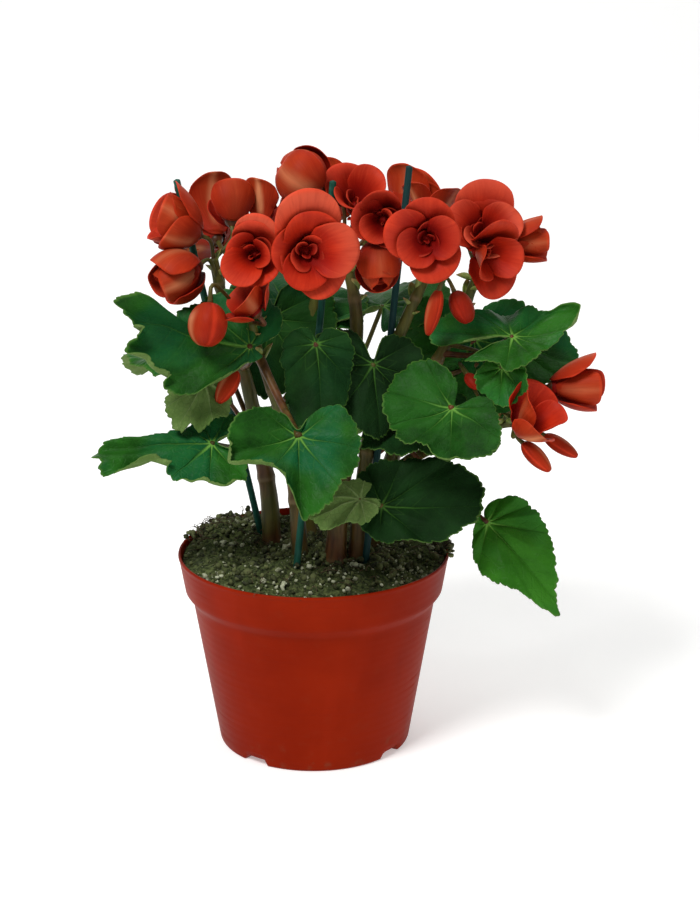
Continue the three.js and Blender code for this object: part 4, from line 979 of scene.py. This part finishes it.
def leaf_ring(leaf, number, margin, share, size):
    """The ring at a share of the way out: its points, and their places on the leaf laid flat."""
    loop, distance, tooth, frill, roll = (part[::MARGIN // size] for part in margin)
    hem = leaf.get("hem", 0.18)
    walk = np.clip(share - 1 + hem, 0, 1) * distance
    tight = np.where(abs(roll) > 0.02, roll, 0.02) * 2.9 / (hem * distance)
    radius = np.minimum(share, 1 - hem) * distance + np.sin(tight * walk) / tight
    radius = radius + tooth * np.cos(tight * walk) * np.clip((share - 0.88) / 0.12, 0, 1)
    angle = np.arctan2(loop[:, 1], loop[:, 0])
    warped = angle + 0.10 * np.sin(2 * angle + number) + 0.05 * np.sin(5 * angle + 3 * number)
    off = abs((np.degrees(warped) / VEIN_STEP + 0.5) % 1 - 0.5) * radians(VEIN_STEP)
    across = radius * np.sin(off)
    flat = np.stack([radius * np.cos(angle), radius * np.sin(angle), 0 * radius], axis=1)
    height = loop[:, 2] * share ** 2.1 + frill * np.clip((share - 0.3) / 0.7, 0, 1) ** 1.7
    height += (1 - np.cos(tight * walk)) / tight
    height -= 0.9 * np.exp(-(across / 1.3) ** 2) * np.clip(radius / 5, 0, 1) * (1.1 - share)
    height += leaf.get("pleat", 0.3) * (np.minimum(across, 9) - 2) * np.clip(radius / 8, 0, 1)
    swell = 2.2 * noise(flat, 18, number) + 0.7 * noise(flat, 7, number + 2)
    height += leaf.get("swell", 1) * swell * np.clip(radius / 10, 0, 1)
    laid = share * distance
    places = np.stack([laid * np.cos(warped), laid * np.sin(warped), np.full(size, share)], axis=1)
    return flat + height[:, None] * [0, 0, 1], places


def leaf_faces():
    """Faces from the middle point out over the rings, whose sizes stay or double from one to the next."""
    sizes = [1] + [size for _, size in LEAF_RINGS]
    starts = np.cumsum([0] + sizes)
    k = np.arange(sizes[1])
    faces = [np.stack([0 * k, 1 + k, 1 + (k + 1) % sizes[1]], axis=1)]
    for near, far, start, following in zip(sizes[1:], sizes[2:], starts[1:], starts[2:]):
        k = np.arange(near)
        a, b = start + k, start + (k + 1) % near
        if near == far:
            faces.append(np.stack([a, following + k, following + (k + 1) % far, b], axis=1))
        else:
            c, d, e = (following + (2 * k + j) % far for j in range(3))
            faces += [np.stack(corners, axis=1) for corners in ((a, c, d), (a, d, b), (b, d, e))]
    return faces, starts[-2] + np.arange(sizes[-1])


def build_leaf(name, leaf, number):
    heading, pitch, roll = (radians(leaf.get(key, 0)) for key in ("heading", "pitch", "roll"))
    spin = turn_about("z", heading) @ turn_about("y", -pitch) @ turn_about("x", roll)
    at, start = np.array(leaf["at"], float), np.array(leaf["start"], float)
    margin = leaf_margin(leaf, number)
    rings = [leaf_ring(leaf, number, margin, share, size) for share, size in LEAF_RINGS]
    points = np.vstack([np.zeros((1, 3))] + [ring for ring, _ in rings])
    u, v, out = np.vstack([np.zeros((1, 3))] + [places for _, places in rings]).T
    faces, rim = leaf_faces()
    # the blade carries its freshness or painted shade, and its painted bluish sheen
    blade = Shape().add_shell(points @ spin.T + at, faces, rim, LEAF_THICKNESS, "under", u=u, v=v, out=out,
                              bright=leaf.get("bright", 0.0), teal=leaf.get("teal", 0.7))
    blade.build(name + "_blade", LEAF, "leaf", [name])
    under = spin @ np.array([-0.35, 0, -1])
    bow = start + 0.6 * (at - start) + under * np.linalg.norm(at - start) * 0.14
    share = np.linspace(0, 1, 34)
    ends = 1 + 0.25 * np.exp(-share * 14) + 0.2 * np.exp(-(1 - share) * 16)
    path, radii = smooth_path([start, bow, at - under * 0.1], 34), leaf["radius"] * (1 - 0.3 * share) * ends
    petiole = tube(Shape(), path, radii, 12, red=0.55 + 0.3 * sin(number * 2.1), scar=0.0)
    petiole.build(name + "_petiole", STEM, "leaf")


# ---- Flowers and buds ---------------------------------------------------------------------------

def facing(turn, lift):
    """The way that a flower or bud faces."""
    turn, lift = radians(turn), radians(lift)
    return np.array([sin(turn) * cos(lift), -cos(turn) * cos(lift), sin(lift)])


def flower_spin(turn, lift):
    """Columns are the flower's right, its up and the way that it faces."""
    ahead, right = facing(turn, lift), np.array([cos(radians(turn)), sin(radians(turn)), 0])
    return np.stack([right, np.cross(ahead, right), ahead], axis=1)


def petal(shape, spin, at, form, seed, cells=(20, 18), depth=1.0, **values):
    """A cupped petal: a patch of a bowl about the flower's axis, with a curled and rippled rim.

    form: around, length, half_width, base, tip, start, rise, curl, wrap, ruffle, slip. The lean from the axis
    runs evenly from base to tip, curl turns the last stretch further out, and slip moves the tip sideways.
    """
    length, wrap, ruffle = form["length"], form["wrap"], form["ruffle"]
    columns, rows = cells[0] + 1, cells[1] + 1
    x, y = np.meshgrid(np.linspace(-1, 1, columns), np.linspace(-1, 1, rows))
    across, along = (x * np.sqrt(1 - y ** 2 / 2.1)).ravel(), (y * np.sqrt(1 - x ** 2 / 2.4)).ravel()
    phase = 5 * sin(seed * 12.9)
    uneven = 0.09 * ruffle * sin(phase)
    share = (along + 1) / 2 * (1 + uneven * across) / (1 + abs(uneven))
    steps = np.linspace(0, 1, 81)
    curl = form["curl"] * np.clip((steps - 0.7) / 0.3, 0, 1) ** 1.5
    leans = np.radians(form["base"] + (form["tip"] - form["base"]) * steps + curl)
    between = np.interp((steps[1:] + steps[:-1]) / 2, steps, leans)
    out_path, up_path = (np.append(0, np.cumsum(way(between))) * length / 80 for way in (np.sin, np.cos))
    lean, radial, axial = (np.interp(share, steps, path) for path in (leans, out_path, up_path))
    radial, axial = radial + form["start"], axial + form["rise"]
    claw = 0.4 + 0.6 * np.minimum(1, share * 1.8)
    sweep = wrap * np.tanh(across * claw * form["half_width"] / (wrap * np.maximum(radial, 1)))
    edge = np.clip(np.maximum(abs(across), along) - 0.5, 0, 1) / 0.5
    round_rim = np.arctan2(along + 0.4, across)
    ripple = sum(size * np.sin(waves * round_rim + k * phase)
                 for k, (size, waves) in enumerate(((1, 3), (0.6, 7), (0.2, 17)), 1))
    push = ruffle * length / 30 * (0.9 * edge ** 3 + edge ** 2 * ripple)
    push = push + 0.7 * ruffle * np.cos(2.2 * sweep + phase) * share
    push = push - 0.35 * np.exp(-(across / 0.1) ** 2) * np.sin(pi * share)
    radial = np.maximum(radial + push * np.cos(lean), 0.3)
    axial = axial - push * np.sin(lean) + 0.5 * np.sin(2 * across + phase) * share
    angle = radians(form["around"]) + sweep
    # painted shade: darker the further down in the flower a point lies, where little light comes
    deep = np.clip(1.35 - radial / 19, 0, 1) * np.clip(1.9 - axial / 12, 0.2, 1) * depth
    points = np.stack([radial * np.cos(angle), radial * np.sin(angle), axial], axis=1)
    points[:, :2] += np.outer(share * length, form["slip"])
    values.update(across=across, along=share, deep=deep, tint=seed * 3.7 % 5)
    faces, rim = grid_faces(columns, rows)[:, ::-1], edge_of(columns, rows)[::-1]
    shape.add_shell(points @ spin.T + at, [faces], rim, PETAL_THICKNESS, "outside", **values)


def build_pedicel(name, shape, item, radius, swell, red):
    """The curved stalk of a flower or bud from its node, thicker at the top."""
    at, start = np.array(item["at"], float), np.array(item["start"], float)
    ahead = facing(item["turn"], item["lift"])
    reach = np.linalg.norm(at + 2 * ahead - start)
    path = smooth_path([start, at - 0.3 * reach * ahead, at + ahead], 22)
    tube(shape, path, radius + swell * np.exp(-np.linspace(9, 0, 22)), 10, red=red, scar=0.0)
    shape.build(name + "_pedicel", STEM, "petal")


# Petals within a flower, from the outside in: degrees round the axis, length, half width, base and tip lean,
# start, curl, wrap, and how far the tip slips to the right and up.
FULL_HEART = [
    (85, 26, 24, 24, 60, 5.6, 14, 1.6, 0, 0), (215, 21, 19, 24, 56, 5.2, 14, 1.5, 0, 0),
    (60, 15, 11, 12, 26, 4.0, 18, 1.6, 0.06, 0.10), (190, 15, 12, 12, 24, 3.8, 20, 1.6, -0.12, -0.04),
    (306, 14, 11, 10, 22, 3.4, 20, 1.6, 0.10, -0.12), (130, 13, 8, 8, 12, 2.2, 22, 1.5, -0.14, 0.10),
    (10, 12, 7, 6, 4, 1.6, 22, 1.4, 0.16, 0.06), (250, 11, 6, 2, 0, 1.0, 20, 1.4, -0.08, -0.12),
]
SLIGHT_HEART = [
    (150, 15, 12, 12, 8, 3.0, 12, 1.6, 0.05, 0.05), (330, 12, 9, 8, -4, 2.0, 10, 1.5, -0.10, 0.04),
    (60, 10, 6, 2, -6, 0.8, 8, 1.3, 0.08, -0.08),
]


def build_flower(name, flower, number):
    ahead, at = facing(flower["turn"], flower["lift"]), np.array(flower["at"], float)
    spin, shape = flower_spin(flower["turn"], flower["lift"]), Shape()
    rng = np.random.default_rng(200 + number)
    # depth scales the painted shade inside the flower
    pale, depth, closed = flower.get("pale", (0.3,)), flower.get("depth", 1.0), flower["tip"] < 20
    spread, curl, ruffle = (2.5, 0, 0.25) if closed else (5, 14, 1)
    for k, (around, length, half_width, further) in enumerate(flower["petals"]):
        layer = 0 if k == 4 else 1 - 2 * (k % 2)
        form = dict(around=around, length=length, half_width=half_width, base=flower["base"] + spread * layer,
                    tip=flower["tip"] + spread * layer + further, start=3.4 + 1.2 * layer, rise=1.6 - layer,
                    curl=curl, wrap=1.5, ruffle=ruffle, slip=(0, 0))
        petal(shape, spin, at, form, number + 0.31 * k, depth=depth, pale=pale[k % len(pale)])
    first = rng.uniform(-40, 40)
    scale = np.mean([p[1] for p in flower["petals"]]) / 30
    heart = FULL_HEART if flower.get("full") else SLIGHT_HEART
    if closed:
        # a smaller ball of petals within the ball
        scale, first = 1, 45
        heart = [(around, 0.88 * length, 0.9 * wide, flower["base"], flower["tip"] - 4, 2.2, 0, 1.5, 0, 0)
                 for around, length, wide, _ in flower["petals"]]
    for k, row in enumerate(heart[flower.get("bare", 0):]):
        around, length, half_width, base, tip, start, curl, wrap, right, up = row
        size, most = scale * rng.uniform(0.9, 1.1), max(flower["tip"], 40)
        form = dict(around=first + around + rng.uniform(-16, 16), length=length * size,
                    half_width=half_width * size, base=base + rng.uniform(-4, 4),
                    tip=min(tip + rng.uniform(-10, 10), most), start=start, rise=2.0, curl=curl, wrap=wrap,
                    ruffle=1.25, slip=(right + rng.uniform(-0.06, 0.06), up + rng.uniform(-0.06, 0.06)))
        petal(shape, spin, at, form, number + 7.3 + 0.83 * k, (16, 12), depth, pale=rng.uniform(0, 0.5))
    # the heart's core, wholly in painted shade
    core = at + np.outer(np.linspace(0.5, 8, 8), ahead)
    tube(shape, core, 4.6 * np.sin(np.linspace(0.5, pi * 0.95, 8)), 16, across=0.3, along=0.3, outside=0.0,
         deep=1.0, tint=0.5, pale=0.0)
    shape.build(name + "_petals", PETAL, "petal", [name])
    cup = at + np.outer(np.linspace(-1.0, 4.0, 8), ahead)
    stalk = tube(Shape(), cup, 1.4 + 2.6 * np.sin(np.linspace(0.1, pi * 0.75, 8)), 12, red=0.9, scar=0.0)
    build_pedicel(name, stalk, flower, radius=1.15, swell=0.5, red=0.4 + 0.3 * sin(number))


def build_bud(name, bud, number):
    """Two broad petals pressed face to face, with a seam round the edge."""
    spin = flower_spin(bud["turn"], bud["lift"]) @ turn_about("z", radians(bud.get("seam", 0)))
    length, width, rows, sides = bud["length"], bud["width"], 34, 48
    angle, share = np.meshgrid(round_angles(sides), np.linspace(0, 1, rows + 2)[1:-1])
    slim = width / length < 0.62
    fullness = width * np.sqrt(share * (1 - share)) * (1 - 0.25 * slim * share ** 2)
    from_seam = np.abs((angle + pi / 2) % pi - pi / 2)
    seam = np.exp(-(from_seam / 0.11) ** 2)
    lobe = 1 + 0.05 * np.sin(2 * from_seam) - 0.07 * seam * np.sin(pi * share)
    x = fullness * np.cos(angle) * lobe
    y = fullness * (0.86 * np.sin(angle) * lobe + 0.04 * np.cos(3 * angle + number))
    z = share * length - 0.5 - 0.8 * seam * np.clip((share - 0.75) / 0.25, 0, 1)
    points = np.vstack([np.stack([x, y, z], axis=2).reshape(-1, 3), [[0, 0, -0.5], [0, 0, length - 0.8]]])
    faces = closed_faces(sides, rows)
    # the bud's shade number sets how far painted shade darkens it
    valves = Shape().add(points @ spin.T + bud["at"], faces, outside=1.0, tint=number * 1.3 % 5,
                         across=np.append(1 - 2 * from_seam / pi, [0, 0]),
                         along=np.append(0.8 * share, [0, 0.8]),
                         deep=bud.get("deep", 0.0), pale=bud.get("pale", 0.5))
    valves.build(name + "_valves", PETAL, "petal", [name])
    build_pedicel(name, Shape(), bud, radius=1.05, swell=0.7, red=0.3)


build_pot()
build_soil()
build_stakes()
build_stems()
for build, table in ((build_leaf, LEAVES), (build_flower, FLOWERS), (build_bud, BUDS)):
    for number, (name, entry) in enumerate(table.items()):
        build(name, entry, number)


# ---- Floor, light and camera --------------------------------------------------------------------

def build_stage():
    """A pale floor that curves up into a backdrop."""
    steps = np.linspace(0, pi / 2, 16)
    bend = [(1.4 + 1.2 * sin(a), 1.2 - 1.2 * cos(a)) for a in steps]
    profile = [(-3.0, 0.0), (0.8, 0.0)] + bend + [(2.6, 4.0)]
    points = [(x, y, z) for y, z in profile for x in (-4.0, 4.0)]
    faces = [(k, k + 1, k + 3, k + 2) for k in range(0, len(points) - 2, 2)]
    mesh = bpy.data.meshes.new("floor")
    mesh.from_pydata(points, [], faces)
    mesh.polygons.foreach_set("use_smooth", [True] * len(mesh.polygons))
    look = Look("pale_floor", 0.9, Specular_IOR_Level=0, Emission_Color=(1, 1, 1, 1), Emission_Strength=0.34)
    mesh.materials.append(look.finish((0.86, 0.86, 0.85), look.bump(look.noise(300, 3), 0.0001, 0.2)))
    floor = bpy.data.objects.new("floor", mesh)
    bpy.context.scene.collection.objects.link(floor)


def area_light(name, at, size, power, target=(0, 0, 0.2)):
    """A round lamp, in metres and watts, that shines at the target."""
    light = bpy.data.lights.new(name, "AREA")
    light.shape, light.size, light.energy = "DISK", size, power
    lamp = bpy.data.objects.new(name, light)
    lamp.location = at
    lamp.rotation_euler = (Vector(target) - Vector(at)).to_track_quat("-Z", "Y").to_euler()
    bpy.context.scene.collection.objects.link(lamp)


def build_camera():
    camera = bpy.data.cameras.new("camera")
    camera.lens, camera.sensor_width, camera.clip_end = CAMERA["lens"], 36, 50
    view = bpy.data.objects.new("camera", camera)
    view.location = [v * MM for v in CAMERA["at"]]
    view.rotation_euler = (radians(90 - CAMERA["down"]), 0, -radians(CAMERA["right"]))
    bpy.context.scene.collection.objects.link(view)
    bpy.context.scene.camera = view


build_stage()
area_light("key", at=(-0.9, -1.3, 2.1), size=0.9, power=50)
area_light("fill", at=(1.6, -1.2, 1.0), size=1.4, power=7)
area_light("top", at=(0.2, 0.5, 2.3), size=1.4, power=14)
world = bpy.data.worlds.new("studio")
world.use_nodes = True
world.node_tree.nodes["Background"].inputs["Color"].default_value = (1, 1, 1, 1)
world.node_tree.nodes["Background"].inputs["Strength"].default_value = 0.22
bpy.context.scene.world = world
bpy.context.scene.view_settings.view_transform = "Standard"
build_camera()
